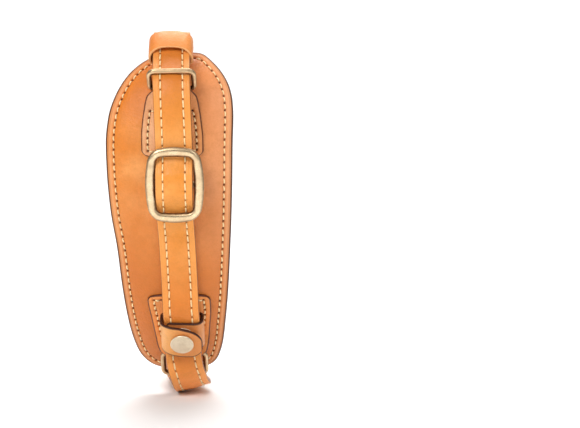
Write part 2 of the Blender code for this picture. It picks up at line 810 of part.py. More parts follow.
# Keepers: strips of leather round both layers of the strap
def rounded_route(corners):
    """An open route through corners given as (across, height, radius), each one rounded."""
    route = [Vector(corners[0][:2])]
    for before, here, after in zip(corners, corners[1:], corners[2:]):
        corner = Vector(here[:2])
        back = (Vector(before[:2]) - corner).normalized()
        ahead = (Vector(after[:2]) - corner).normalized()
        half_angle = back.angle(ahead) / 2
        start = corner + back * here[2] / math.tan(half_angle)
        middle = corner + (back + ahead).normalized() * here[2] / math.sin(half_angle)
        spoke = start - middle
        turn = spoke.angle_signed(corner + ahead * here[2] / math.tan(half_angle) - middle)
        for share in spread(0, 1, 5):
            route.append(middle + Matrix.Rotation(-share * turn, 2) @ spoke)
    route.append(Vector(corners[-1][:2]))
    return route


def subdivided(route, step):
    """The same route with its long stretches cut to about the step, and each point's distance."""
    points = [(0.0, route[0])]
    for start, end in zip(route, route[1:]):
        length = (end - start).length
        count = max(1, round(length / step))
        travelled = points[-1][0]
        for i in range(1, count + 1):
            points.append((travelled + length * i / count, start.lerp(end, i / count)))
    return points


# Top keeper: a plain closed loop just under the lug fold, domed out a little in front
KEEPER_STEP = 1.6
KEEPER_CORNER_POINTS = 4
keeper_half_width = STRAP_WIDTH / 2 + SIDE_ROOM + KEEPER_THICK / 2
keeper_half_depth = PITCH / 2 + KEEPER_OFFSET
keeper_corners = rounded_rectangle(
    keeper_half_width, keeper_half_depth, KEEPER_CORNER, KEEPER_CORNER_POINTS
)
keeper_loop = subdivided([Vector(corner) for corner in keeper_corners], KEEPER_STEP)
keeper_rows = []
for _, (x, y) in keeper_loop:
    dome = TOP_KEEPER_DOME * (1 - (x / keeper_half_width) ** 2) if y > PITCH / 2 else 0.0
    keeper_rows.append([
        place(u, (back_layer_v(u) + front_layer_v(u)) / 2 + y + dome, x)
        for u in spread(top_keeper_low, top_keeper_high, 5)
    ])
top_keeper = add_object(
    "top_keeper", sheet_mesh("top_keeper", keeper_rows, closed=True), saddle_leather
)
thicken(top_keeper, KEEPER_THICK)


# Snap keeper: a band round both layers whose ends overlap in front and close with a press stud
inner_flap_v = STRAP_IN_SNAP_KEEPER + PITCH + KEEPER_OFFSET
stud_stack = 3 * GAP + SNAP_STUD_THICK + SNAP_SOCKET_THICK
outer_flap_v = inner_flap_v + KEEPER_THICK + stud_stack
snap_back_v = STRAP_IN_SNAP_KEEPER - KEEPER_OFFSET
snap_route = rounded_route([
    (keeper_half_width - INNER_FLAP_LENGTH, inner_flap_v, 0.0),
    (keeper_half_width, inner_flap_v, KEEPER_CORNER),
    (keeper_half_width, snap_back_v, KEEPER_CORNER),
    (-keeper_half_width, snap_back_v, KEEPER_CORNER),
    (-keeper_half_width, outer_flap_v, FLAP_CORNER),
    (keeper_half_width, outer_flap_v, 0.0),
])
snap_points = subdivided(snap_route, KEEPER_STEP)
snap_length = snap_points[-1][0]
# The outer flap's upper edge swings down past the press stud and its lower edge bellies out.
# Shares are of the band's length.
notch_at = curve_through([(0.0, 0.0), (0.70, 0.0), (0.81, 0.42), (0.90, 0.82), (1.0, 1.0)])
belly_at = curve_through([(0.0, 0.0), (0.76, 0.0), (0.88, 1.0), (1.0, 0.95)])
snap_rows = []
for travelled, point in snap_points:
    cut = corner_cut(snap_length - travelled, FLAP_TIP_CORNER) + corner_cut(travelled, INNER_FLAP_CORNER)
    low = snap_low - cut + FLAP_BELLY * belly_at(travelled / snap_length)
    high = snap_high + cut + FLAP_NOTCH * notch_at(travelled / snap_length)
    snap_rows.append([place(u, point.y, point.x) for u in spread(low, high, 5)])
snap_keeper = add_object("snap_keeper", sheet_mesh("snap_keeper", snap_rows), saddle_leather)
thicken(snap_keeper, KEEPER_THICK)


# Press stud: turned brass, the cap and socket on the outer flap and the stud on the inner one
def turned(name, profile, matrix, finish):
    """A solid turned round its own Z from a profile of (radius, height), top to bottom."""
    mesh = bpy.data.meshes.new(name)
    build = bmesh.new()
    line = [build.verts.new((radius * MM, 0, height * MM)) for radius, height in profile]
    for near, far in zip(line, line[1:]):
        build.edges.new((near, far))
    build.to_mesh(mesh)
    build.free()
    made = add_object(name, mesh, finish)
    made.matrix_world = matrix
    screw = made.modifiers.new("turn", "SCREW")
    screw.steps = 24
    screw.render_steps = 24
    screw.use_merge_vertices = True
    screw.merge_threshold = 0.00001
    screw.use_smooth_shade = False
    return made


flap_face = facing(
    place(snap_u, outer_flap_v), place(snap_u + 1, outer_flap_v), place(snap_u - 1, outer_flap_v)
)
half_flap = KEEPER_THICK / 2
cap_radius = SNAP_CAP_DIAMETER / 2
cap_low = half_flap + GAP
cap_high = cap_low + SNAP_CAP_THICK
socket_high = -half_flap - GAP
socket_low = socket_high - SNAP_SOCKET_THICK
hollow_roof = socket_high - SNAP_SOCKET_ROOF
turned(
    "snap_cap",
    [
        (0.0, cap_high + SNAP_CAP_DOME),
        (0.45 * cap_radius, cap_high + 0.78 * SNAP_CAP_DOME),
        (0.85 * cap_radius, cap_high),
        (cap_radius, cap_high - 0.5 * SNAP_CAP_THICK),
        (cap_radius, cap_low),
        (SNAP_POST_DIAMETER / 2, cap_low),
        (SNAP_POST_DIAMETER / 2, socket_high),
        (SNAP_SOCKET_DIAMETER / 2, socket_high),
        (SNAP_SOCKET_DIAMETER / 2, socket_low),
        (SNAP_HOLLOW_DIAMETER / 2, socket_low),
        (SNAP_HOLLOW_DIAMETER / 2, hollow_roof),
        (0.0, hollow_roof),
    ],
    flap_face,
    antique_brass,
)
stud_high = socket_low - GAP
stud_low = stud_high - SNAP_STUD_THICK
nub_radius = SNAP_HOLLOW_DIAMETER / 2 - GAP
turned(
    "snap_stud",
    [
        (0.0, hollow_roof - GAP),
        (nub_radius, hollow_roof - GAP),
        (nub_radius, stud_high),
        (SNAP_STUD_DIAMETER / 2, stud_high),
        (SNAP_STUD_DIAMETER / 2, stud_low),
        (0.0, stud_low),
    ],
    flap_face,
    antique_brass,
)
post_hole = helper(
    "post_hole", rod_mesh("post_hole", SNAP_POST_DIAMETER / 2 + GAP, 3 * KEEPER_THICK, 20), flap_face
)
combine(snap_keeper, post_hole, "DIFFERENCE")
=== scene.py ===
"""A leather hand strap with antique brass fittings, in the shape that it has when it is worn.

Lengths are in millimetres until a point is placed. u runs down the middle of the pad's face,
v stands out from it and x goes across to the right, as in the solids.
"""
import math

import bmesh
import bpy
import numpy as np
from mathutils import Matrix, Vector
from mathutils.kdtree import KDTree


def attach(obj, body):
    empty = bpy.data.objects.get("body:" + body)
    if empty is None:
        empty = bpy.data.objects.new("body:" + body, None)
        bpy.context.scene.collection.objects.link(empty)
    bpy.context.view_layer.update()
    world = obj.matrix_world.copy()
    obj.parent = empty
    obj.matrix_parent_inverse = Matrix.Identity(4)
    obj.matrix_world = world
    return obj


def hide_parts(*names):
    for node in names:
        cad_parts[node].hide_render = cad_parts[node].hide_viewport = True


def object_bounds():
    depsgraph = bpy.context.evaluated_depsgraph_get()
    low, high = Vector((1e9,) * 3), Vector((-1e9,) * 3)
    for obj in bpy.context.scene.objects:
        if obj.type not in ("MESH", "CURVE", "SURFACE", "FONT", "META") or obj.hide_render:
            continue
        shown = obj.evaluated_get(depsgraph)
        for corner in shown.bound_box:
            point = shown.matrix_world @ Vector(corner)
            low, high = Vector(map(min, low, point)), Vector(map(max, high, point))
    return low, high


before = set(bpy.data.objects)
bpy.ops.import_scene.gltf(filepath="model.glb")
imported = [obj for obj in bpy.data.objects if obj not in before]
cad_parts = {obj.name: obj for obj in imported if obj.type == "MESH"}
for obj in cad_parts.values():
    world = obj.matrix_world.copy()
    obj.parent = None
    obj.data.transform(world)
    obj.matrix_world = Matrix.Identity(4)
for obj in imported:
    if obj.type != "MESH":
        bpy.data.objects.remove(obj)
solid_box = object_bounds()


# Pad face: the shaped piece of vegetable-tanned shoulder leather that lies over the back of the
# hand. It is cut with a clicking die, creased round its edge, skived under the seam, and saddle
# stitched by hand to the lining with waxed cream linen thread.
MM = 0.001
PAD_LENGTH = 122.0
PAD_WIDTH = 41.4
PAD_SAG = 3.2
CROWN_AT = 0.27 * PAD_LENGTH
ORIGIN = (-1.206, 39.873, 27.611)
PAD_LEAN = [
    # share down the pad, degrees the face leans forward
    (0, -42), (0.08, -33), (0.16, -20), (0.27, -3), (0.41, 12), (0.53, 19), (0.66, 25), (0.77, 32),
    (0.87, 38), (1, 41),
]
PAD_OUTLINE = [
    # share down the pad, left and right half widths
    (0.000, 0.05, 0.43), (0.009, 0.27, 0.49), (0.021, 0.43, 0.555), (0.042, 0.60, 0.665),
    (0.070, 0.75, 0.775), (0.107, 0.88, 0.868), (0.146, 0.975, 0.912), (0.190, 1.045, 0.925),
    (0.270, 1.087, 0.915), (0.365, 1.072, 0.908), (0.467, 1.030, 0.893), (0.580, 0.942, 0.865),
    (0.705, 0.885, 0.825), (0.828, 0.810, 0.765), (0.893, 0.745, 0.725), (0.943, 0.660, 0.665),
    (0.975, 0.540, 0.590), (0.992, 0.400, 0.470), (1.000, 0.220, 0.300),
]
PAD_SEAM_INSET = 2.6
PAD_STITCH = 2.5
SEAM_SPREAD = 0.4
PAD_EDGE_POINTS = 960
PAD_CREASE = 0.92
PAD_PALE_RIM = (1.3, 2.6)


def eased(rows, column=1):
    """A smooth curve through a table's first column and another one, without overshoot."""
    at = np.array([row[0] for row in rows], float)
    to = np.array([row[column] for row in rows], float)
    steps = np.diff(to) / np.diff(at)
    slopes = np.zeros(len(at))
    going_on = np.flatnonzero(steps[:-1] * steps[1:] > 0)
    slopes[going_on + 1] = 2 / (1 / steps[going_on] + 1 / steps[going_on + 1])

    def value(x):
        x = np.clip(np.asarray(x, float), at[0], at[-1])
        i = np.clip(np.searchsorted(at, x) - 1, 0, len(at) - 2)
        wide = at[i + 1] - at[i]
        t = (x - at[i]) / wide
        rise = to[i + 1] - to[i]
        start, end = slopes[i] * wide, slopes[i + 1] * wide
        return to[i] + t * (start + t * (3 * rise - 2 * start - end + t * (start + end - 2 * rise)))

    return value


class LeanLine:
    """A line down the middle of the part, added up from how far it leans."""

    def __init__(self, rows):
        self.lean = eased(rows)
        self.u = np.linspace(rows[0][0], rows[-1][0], 1600) * PAD_LENGTH
        lean = np.radians(self.lean(self.u / PAD_LENGTH))
        step = np.diff(self.u, prepend=self.u[0])
        lines = (np.cumsum(way * step) for way in (np.sin(lean), -np.cos(lean)))
        self.y, self.z = (line - np.interp(CROWN_AT, self.u, line) for line in lines)

    def place(self, u, v, x):
        """Points in metres at u down the line, v out from it and x across."""
        lean = np.radians(self.lean(u / PAD_LENGTH))
        y = np.interp(u, self.u, self.y) - np.cos(lean) * v
        z = np.interp(u, self.u, self.z) - np.sin(lean) * v
        return (np.stack(np.broadcast_arrays(x, y, z), axis=-1) - ORIGIN) * MM


pad_line = LeanLine(PAD_LEAN)


def on_pad(flat, height):
    """Points over the pad's face, which falls back at its sides because it wraps the hand."""
    u, x = flat.T
    return pad_line.place(u, height - PAD_SAG * (2 * x / PAD_WIDTH) ** 2, x)


def unit(ways):
    """The same ways, each one of length one."""
    return ways / np.linalg.norm(ways, axis=-1, keepdims=True)


def travelled(points):
    """The way along a route at each of its points."""
    return np.concatenate([[0], np.cumsum(np.linalg.norm(np.diff(points, axis=0), axis=1))])


def resampled(points, count, closed=False):
    """The same route with its points evenly spaced."""
    points = np.vstack([points, points[:1]]) if closed else points
    way = travelled(points)
    at = np.linspace(0, way[-1], count + closed)[:count]
    return np.column_stack([np.interp(at, way, column) for column in points.T])


def pad_edge():
    """The die's outline as (u, x), from the top middle down the left side and up the right."""
    shares = (1 - np.cos(np.linspace(0, np.pi, 240))) / 2
    left, right = (eased(PAD_OUTLINE, column)(shares) * PAD_WIDTH / 2 for column in (1, 2))
    down, up = (np.column_stack([shares * PAD_LENGTH, side]) for side in (-left, right))
    loop = resampled(np.vstack([down, up[::-1]]), 900, closed=True)
    window = np.exp(-0.5 * (np.arange(-12, 13) / 4.0) ** 2)
    window /= window.sum()
    loop = sum(w * np.roll(loop, k, axis=0) for k, w in zip(range(-12, 13), window))
    low = int(np.argmax(loop[:, 0]))
    tops = np.flatnonzero(loop[:, 0] < loop[:, 0].min() + 0.02)
    high = int(tops[np.argmin(abs(loop[tops, 1] - loop[tops, 1].mean()))])
    loop = np.roll(loop, -high, axis=0)
    low = (low - high) % len(loop)
    halves = loop[: low + 1], np.vstack([loop[low:], loop[:1]])
    return np.vstack([resampled(half, PAD_EDGE_POINTS // 2 + 1)[:-1] for half in halves])


def tree_of(points):
    """Points made ready to be asked which of them lies nearest."""
    tree = KDTree(len(points))
    for i, point in enumerate(points):
        tree.insert(Vector(point), i)
    tree.balance()
    return tree


def quads(rows, closed=True, looped=False):
    """Faces between rows of point numbers; closed joins the ends of rows, looped the end rows."""
    faces = []
    for near, far in zip(rows, rows[1:] + rows[:1] if looped else rows[1:]):
        for i in range(len(near) if closed else len(near) - 1):
            after = (i + 1) % len(near)
            faces.append((near[i], near[after], far[after], far[i]))
    return faces


def tube_faces(sections, sides, looped=True, first=0):
    """Faces of a tube numbered section by section, with flat ends if it isn't a loop."""
    rows = [list(range(first + i * sides, first + (i + 1) * sides)) for i in range(sections)]
    return quads(rows, looped=looped) + ([] if looped else [tuple(rows[0][::-1]), tuple(rows[-1])])


def linked(name, data):
    """A new object in the scene."""
    made = bpy.data.objects.new(name, data)
    bpy.context.scene.collection.objects.link(made)
    return made


def finished(name, points, faces, finish, slot, *nodes, **marks):
    """A piece with its finish, and marks on its points for it, standing for its solids."""
    mesh = bpy.data.meshes.new(name)
    mesh.from_pydata([tuple(point) for point in points], [], faces)
    for mark, values in marks.items():
        mesh.attributes.new(mark, "FLOAT", "POINT").data.foreach_set("value", values)
    mesh.materials.append(finish)
    mesh.shade_smooth()
    piece = linked(name, mesh)
    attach(piece, "root")
    if nodes:
        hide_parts(*nodes)
    return piece


class Shell:
    """The points, faces and finish marks of a leather piece while it is put together."""

    def __init__(self):
        self.points, self.outward, self.faces = [], [], []
        self.marks = {"edge": [], "rim": [], "dent_shade": []}

    def add(self, points, outward, **marks):
        """Adds points and gives back their numbers."""
        start = len(self.points)
        self.points.extend(points)
        self.outward.extend(outward)
        for mark, values in self.marks.items():
            values.extend(np.broadcast_to(marks.get(mark, 0.0), len(points)))
        return list(range(start, len(self.points)))

    def press(self, seam, holes, facing, depth=0.16, hole_depth=0.55, hole_spread=0.34):
        """Draws the leather down along a seam, and paints shade into its groove and dark shade into the
        holes of its stitches.
        """
        seam_tree, hole_tree = tree_of(seam), tree_of(holes)
        for i, (point, outward) in enumerate(zip(self.points, self.outward)):
            _, near, gap = seam_tree.find(Vector(point))
            if gap > 3 * SEAM_SPREAD * MM or np.dot(outward, facing[near]) < 0.3:
                continue
            sunk = math.exp(-((gap / MM / SEAM_SPREAD) ** 2))
            hole = math.exp(-((hole_tree.find(Vector(point))[2] / MM / hole_spread) ** 2))
            self.points[i] = point - outward * (depth * sunk + hole_depth * hole) * MM
            # painted shade: faint along the seam's groove, dark in the stitch holes
            self.marks["dent_shade"][i] = max(self.marks["dent_shade"][i], 0.22 * sunk, min(1.0, 1.25 * hole))

    def made(self, name, finish, slot, *nodes):
        """The finished piece, with its faces turned outward."""
        piece = finished(name, self.points, self.faces, finish, slot, *nodes, **self.marks)
        build = bmesh.new()
        build.from_mesh(piece.data)
        bmesh.ops.recalc_face_normals(build, faces=build.faces)
        build.to_mesh(piece.data)
        build.free()
        return piece


class Finish:
    """A material under construction: short calls that add and join its nodes."""

    def __init__(self, name, roughness, metallic=0.0, coat=0.0, coat_roughness=0.2):
        self.material = bpy.data.materials.new(name)
        self.material.use_nodes = True
        self.tree = self.material.node_tree
        self.place = self.tree.nodes.new("ShaderNodeTexCoord").outputs["Object"]
        self.shade({
            "Roughness": roughness, "Metallic": metallic, "Coat Weight": coat,
            "Coat Roughness": coat_roughness, "Specular IOR Level": 0.5 if metallic else 0.3,
        })

    def fill(self, node, inputs):
        """Fills a node's inputs with numbers, or joins them to other nodes."""
        for key, value in inputs.items():
            if isinstance(value, bpy.types.NodeSocket):
                self.tree.links.new(value, node.inputs[key])
            else:
                node.inputs[key].default_value = value

    def shade(self, inputs):
        """Fills or joins the shader's own inputs."""
        self.fill(self.tree.nodes["Principled BSDF"], inputs)

    def node(self, kind, output, inputs, **settings):
        """What comes out of a new node."""
        made = self.tree.nodes.new("ShaderNode" + kind)
        for key, value in settings.items():
            setattr(made, key, value)
        self.fill(made, inputs)
        return made.outputs[output]

    def noise(self, scale, detail=2.0, roughness=0.5, stretch=(1, 1, 1)):
        """Cloudy variation, in features to the metre."""
        place = self.node("Mapping", "Vector", {"Vector": self.place, "Scale": stretch})
        inputs = {"Vector": place, "Scale": scale, "Detail": detail, "Roughness": roughness}
        return self.node("TexNoise", "Fac", inputs)

    def mark(self, name):
        """One of the marks left on the piece's points."""
        return self.node("Attribute", "Fac", {}, attribute_name=name)

    def between(self, value, low, high, to_low=0.0, to_high=1.0):
        """A value taken from one range to another and held there."""
        ends = {"From Min": low, "From Max": high, "To Min": to_low, "To Max": to_high}
        return self.node("MapRange", "Result", {"Value": value, **ends})

    def mixed(self, share, first, second):
        """One colour turning into another."""
        first, second = ((*tone, 1.0) if isinstance(tone, tuple) else tone for tone in (first, second))
        return self.node("Mix", 2, {0: share, 6: first, 7: second}, data_type="RGBA")

    def sum(self, *parts):
        """Values added up, each with its weight."""
        total = 0.0
        for value, weight in parts:
            inputs = {0: value, 1: weight, 2: total}
            total = self.node("Math", 0, inputs, operation="MULTIPLY_ADD")
        return total

    def relief(self, value, depth, strength=1.0):
        """Bump of that depth in millimetres."""
        inputs = {"Height": value, "Strength": strength, "Distance": depth * MM}
        self.shade({"Normal": self.node("Bump", "Normal", inputs)})


def leather(name, deep, pale, edge, hole=(0.08, 0.025, 0.01), gloss=0.4, grain=1.0, rim=None,
            drifts=()):
    """Waxed vegetable-tanned leather: cloudy dye, fine pores, paler rims and burnished edges.

    drifts are the axis, start, end and share over which the colour turns into another one;
    most of them paint shade or sheen on the piece.
    """
    hide = Finish(name, gloss, coat=0.05, coat_roughness=0.32)
    cloud = hide.between(hide.noise(75, 3), 0.34, 0.68)
    colour = hide.mixed(cloud, deep, pale)
    # colour drifts with place: most of them are painted shade or painted sheen
    for axis, start, end, share, tone in drifts:
        along = hide.node("SeparateXYZ", axis, {"Vector": hide.place})
        drift = hide.sum((along, 1.0), (hide.noise(48, 2), 0.012))
        colour = hide.mixed(hide.between(drift, start, end, 0.0, share), colour, tone)
    speck = hide.between(hide.noise(1500, 3, 0.65), 0.3, 0.75, 0.0, 0.2)
    mottle = hide.between(hide.noise(420, 3, 0.6), 0.42, 0.7, 0.0, 0.17)
    colour = hide.mixed(hide.sum((speck, 1.0), (mottle, 1.0)), colour, tuple(0.6 * c for c in deep))
    colour = hide.mixed(hide.between(hide.mark("rim"), 0, 1, 0, 0.5), colour, rim or pale)
    colour = hide.mixed(hide.mark("edge"), colour, edge)
    # painted shade in seam grooves, edge creases and stitch holes, in the colour hole
    colour = hide.mixed(hide.between(hide.mark("dent_shade"), 0.05, 0.95), colour, hole)
    scuff = hide.sum((hide.between(hide.noise(420, 3), 0.3, 0.7), 0.12), (cloud, -0.04))
    scuff = hide.between(scuff, -0.04, 0.12, gloss - 0.08, gloss + 0.08)
    hide.shade({"Base Color": colour, "Roughness": scuff})
    pores = hide.node("TexVoronoi", "Distance", {"Vector": hide.place, "Scale": 1500.0})
    folds = hide.noise(60, 2, stretch=(1, 1, 0.4))
    fine = ((pores, 0.5 * grain), (hide.noise(2600, 2), 0.35 * grain))
    hide.relief(hide.sum(*fine, (hide.noise(260, 3), 1.1), (folds, 2.0)), 0.16)
    return hide.material


# waxed linen thread, laid from two twisted plies
THREAD_WIDTH = 0.5
THREAD_HEIGHT = 0.4
THREAD_SUNK = 0.42
THREAD_ARCH = 0.58
STITCH_SECTIONS = 11
STITCH_SIDES = 8
thread = Finish("waxed_linen_thread", 0.5, coat=0.2, coat_roughness=0.4)
waves = {"Vector": thread.place, "Scale": 900.0, "Distortion": 1.5}
twist = thread.node("TexWave", "Fac", waves)
cloud = thread.between(thread.noise(260, 2), 0.3, 0.7, 0.0, 0.5)
shade = thread.sum((thread.between(twist, 0.1, 0.9), 0.3), (cloud, 0.4))
thread.shade({"Base Color": thread.mixed(shade, (0.98, 0.79, 0.44), (0.84, 0.57, 0.26))})
thread.relief(twist, 0.05, 0.8)


def sewn(name, holes, outward, slot, slant=0.14, span=0.8, closed=False, width=THREAD_WIDTH):
    """A row of stitches, each a short arch of thread from one hole down into the next.

    slant turns them against the seam, and span is how much of the way they cover.
    """
    count = len(holes) if closed else len(holes) - 1
    first, second = holes[:count], np.roll(holes, -1, axis=0)[:count]
    lift_way = unit(outward + np.roll(outward, -1, axis=0))[:count]
    side = unit(np.cross(second - first, lift_way))
    start, end = first + side * slant * MM, second - side * slant * MM
    t = (1 - np.cos(np.linspace(0, np.pi, STITCH_SECTIONS)))[:, None] / 2
    rise = (THREAD_ARCH * np.sin(np.pi * t) ** 0.4 - THREAD_SUNK) * MM
    share = 0.5 + (t - 0.5) * span
    middle = start[:, None] * (1 - share) + end[:, None] * share + lift_way[:, None] * rise
    way = unit(np.gradient(middle, axis=1))
    flat = unit(np.cross(way, lift_way[:, None]))
    up = np.cross(flat, way)
    plump = np.array([0.72] + [1.0] * (STITCH_SECTIONS - 2) + [0.72])[:, None, None]
    angle = np.linspace(0, 2 * np.pi, STITCH_SIDES, endpoint=False)[:, None]
    across = flat[:, :, None] * (np.cos(angle) * width / 2)
    high = up[:, :, None] * (np.sin(angle) * THREAD_HEIGHT / 2)
    rings = middle[:, :, None] + plump * (across + high) * MM
    faces = []
    for stitch in range(count):
        at = stitch * STITCH_SECTIONS * STITCH_SIDES
        faces += tube_faces(STITCH_SECTIONS, STITCH_SIDES, looped=False, first=at)
    return finished(name, rings.reshape(-1, 3), faces, thread.material, slot)


pad_outline = pad_edge()
pad_inward = np.roll(pad_outline, 1, axis=0) - np.roll(pad_outline, -1, axis=0)
pad_inward = unit(pad_inward[:, ::-1] * (1, -1))
pad_inward *= np.sign(np.sum((pad_outline.mean(axis=0) - pad_outline) * pad_inward))
pad_edge_tree = tree_of([(u, x, 0) for u, x in pad_outline])


def out_from_pad(flat):
    """Unit ways out from the pad's face."""
    ways = (on_pad(flat, 1.0) - on_pad(flat, 0.0)) / MM
    ways[:, 0] += 8 * PAD_SAG * flat[:, 1] / PAD_WIDTH**2
    return unit(ways)


def pad_sheet(name, threads, finish, slot, node, rim, front, back, columns, seam_side):
    """A sheet of the pad, sewn through at the seam: its front, its rounded rim and its back.

    front and back give the height at an inset, and rim has rows of inset, height and edge mark.
    """
    shell = Shell()
    insets = (0.78, 0.92, 1.06, 1.3, 1.7, 2.0, 2.25, 2.42, 2.6, 2.78, 2.95, 3.2, 3.6, 4.2)
    faces = ((front, 1, columns[0]), (back, -1, columns[1]))
    rings = []
    for height, sign, _ in faces:
        for inset in insets:
            flat = pad_outline + pad_inward * inset
            pale = np.interp(inset, PAD_PALE_RIM, (1.0, 0.0))
            # painted shade along the edge crease
            crease = 0.36 * math.exp(-(((inset - PAD_CREASE) / 0.14) ** 2))
            marks = {"rim": pale, "dent_shade": crease} if sign > 0 else {}
            rings.append(shell.add(on_pad(flat, height(inset)), sign * out_from_pad(flat), **marks))
    sideways = np.column_stack([-pad_inward[:, 1], 0 * pad_inward[:, 0], pad_inward[:, 0]])
    for inset, height, edge in rim:
        points = on_pad(pad_outline + pad_inward * inset, height)
        rings.append(shell.add(points, sideways, edge=edge))
    front_rings, back_rings = rings[: len(insets)], rings[len(insets) : 2 * len(insets)]
    shell.faces += quads(front_rings[::-1] + rings[2 * len(insets) :] + back_rings)
    inner = pad_outline + pad_inward * insets[-1]
    half = PAD_EDGE_POINTS // 2
    for last, (height, sign, count) in zip((front_rings[-1], back_rings[-1]), faces):
        share = np.linspace(0, 1, count + 2)[1:-1, None]
        rows = []
        for i in range(1, half):
            flat = inner[i] * (1 - share) + inner[-i] * share
            depth = np.array([pad_edge_tree.find((u, x, 0))[2] for u, x in flat])
            numbers = shell.add(on_pad(flat, height(depth)), sign * out_from_pad(flat))
            rows.append([last[i], *numbers, last[-i]])
        shell.faces += quads(rows, closed=False)
        for tip, row in ((last[0], rows[0]), (last[half], rows[-1])):
            shell.faces += [(tip, *pair) for pair in zip(row, row[1:])]
    seam = resampled(pad_outline + pad_inward * PAD_SEAM_INSET, 1000, closed=True)
    length = travelled(on_pad(seam, 0.0))[-1] / MM
    holes = resampled(seam, round(length / PAD_STITCH), closed=True)
    seam_height = (front if seam_side > 0 else back)(PAD_SEAM_INSET)
    seam_out, holes_out = (seam_side * out_from_pad(part) for part in (seam, holes))
    seam, holes = (on_pad(part, seam_height) for part in (seam, holes))
    shell.press(seam, holes, seam_out)
    piece = shell.made(name, finish, slot, node)
    sewn(threads, holes, holes_out, slot, span=0.52, closed=True)
    return piece


pad_front = eased([(0, 0.0), (0.66, 0.0), (0.92, -0.12), (1.2, 0.03), (2.6, 0.0), (4.2, 0.26),
                   (8.0, 0.6), (14.0, 0.8), (22.0, 0.85)])
PAD_FACE_THICK = 1.6
pad_leather = leather(
    "pad_leather", deep=(0.78, 0.25, 0.038), pale=(0.93, 0.385, 0.11), edge=(0.085, 0.028, 0.012),
    hole=(0.07, 0.018, 0.006), rim=(0.86, 0.42, 0.19),
    # painted shade: deeper and darker towards the top
    drifts=[("Z", -0.03, -0.008, 0.95, (0.75, 0.205, 0.018)),
            # painted sheen: pinker towards the right
            ("X", 0.005, 0.021, 0.85, (0.79, 0.33, 0.145)),
            # painted shade: darker towards the bottom
            ("Z", -0.03, -0.066, 0.95, (0.63, 0.175, 0.026))],
)
pad_sheet(
    "pad_face_leather", "pad_face_stitches", pad_leather, "pad_leather", "pad_face",
    rim=[(0.64, 0.0, 0.0), (0.52, -0.01, 0.8), (0.26, -0.08, 1.0), (0.06, -0.25, 1.0),
         (0.0, -0.5, 1.0), (0.0, -1.1, 1.0), (0.06, -1.42, 1.0), (0.3, -1.58, 1.0)],
    front=pad_front, back=lambda inset: -PAD_FACE_THICK + 0 * inset, columns=(34, 8), seam_side=1,
)


# Pad lining: soft split leather over thin foam, drawn down to the face at the seam, so it swells
# towards the hand in the middle. It is glued first and sewn through with the same thread.
LINING_FRONT = -1.72
pad_rear = eased([(0, -2.95), (0.6, -3.1), (2.6, -3.05), (4.5, -3.75), (8.0, -4.5), (14.0, -4.85),
                  (22.0, -4.9)])
lining_leather = leather(
    "lining_leather", deep=(0.50, 0.25, 0.11), pale=(0.66, 0.38, 0.19), edge=(0.13, 0.045, 0.018),
    hole=(0.10, 0.04, 0.02), gloss=0.66, grain=1.8,
)
pad_sheet(
    "pad_lining", "pad_lining_stitches", lining_leather, "lining_leather", "pad_back",
    rim=[(0.3, -1.74, 1.0), (0.07, -1.85, 1.0), (0.0, -2.15, 1.0), (0.02, -2.6, 1.0),
         (0.16, -2.88, 0.8), (0.45, -3.05, 0.2)],
    front=lambda inset: LINING_FRONT + 0 * inset, back=pad_rear, columns=(8, 34), seam_side=-1,
)


# Strap: one band of bridle leather, two plies sewn together near their edges with linen thread and
# burnished. It runs from the slide's centre bar up to its top fold, down the front, round its base
# fold and back up into the snap keeper, with its first few millimetres skived thin.
GAP = 0.3
STRAP_WIDTH = 12.1
STRAP_THICK = 1.8
SKIVED_THICK = 1.0
PATCH_THICK = 1.3
KEEPER_THICK = 0.9
RING_WIRE = 1.7
TOP_BEND = [
    # share down the pad, degrees the strap's line leans forward above the pad
    (-0.26, -90), (-0.2, -90), (-0.15, -104), (-0.1, -116), (-0.06, -114), (-0.03, -98),
    (0.005, -62), (0.055, -38),
]
BASE_BEND = [(0.925, 43), (0.96, 57), (1, 80), (1.035, 90), (1.45, 90)]
WANDER = [
    # share down the pad, how far right the strap lies, as a share of its width
    (-0.26, -0.17), (-0.06, -0.14), (0.01, -0.085), (0.05, -0.08), (0.12, -0.05), (0.3, 0.02),
    (0.45, 0.03), (0.6, 0.075), (0.72, 0.11), (0.79, 0.15), (0.97, 0.15), (1.02, 0.1), (1.1, 0),
    (1.45, 0),
]
FRONT_LEAN = [
    # share down the pad, how far right the front layer shifts, degrees its left edge lifts
    (-0.26, 0, 0), (0.86, 0, 0), (0.94, 0.12, 15), (1.01, 0.23, 14), (1.07, 0.16, 11), (1.17, 0, 0),
    (1.45, 0, 0),
]
FOLD_GAP = 5.0
BASE_FOLD_RADIUS = 2.0
RING_DIP = 0.9
STRAP_LIFT = 2.1
STRAP_SEAM_INSET = 2.45
STRAP_STITCH = 3.0
SLIDE_HEIGHT = 19.9
SLIDE_END_BAR = 2.1
SLIDE_DISH = 3.2
CENTRE_BAR = 2.0
strap_line = LeanLine(TOP_BEND + PAD_LEAN[2:-1] + BASE_BEND)
wander = eased(WANDER)


def beside(u, v, x=0.0):
    """Points in metres at u down the strap's line, v out from it and x from its own middle."""
    return strap_line.place(u, v, wander(u / PAD_LENGTH) * STRAP_WIDTH + x)


def beside_line(u):
    """Where the pad's line at u lies beside the strap's line, as (u, v)."""
    y, z = np.interp(u, pad_line.u, pad_line.y), np.interp(u, pad_line.u, pad_line.z)
    near = int(np.argmin((strap_line.y - y) ** 2 + (strap_line.z - z) ** 2))
    lean = math.radians(strap_line.lean(strap_line.u[near] / PAD_LENGTH))
    away_y, away_z = y - strap_line.y[near], z - strap_line.z[near]
    return strap_line.u[near], -away_y * math.cos(lean) - away_z * math.sin(lean)


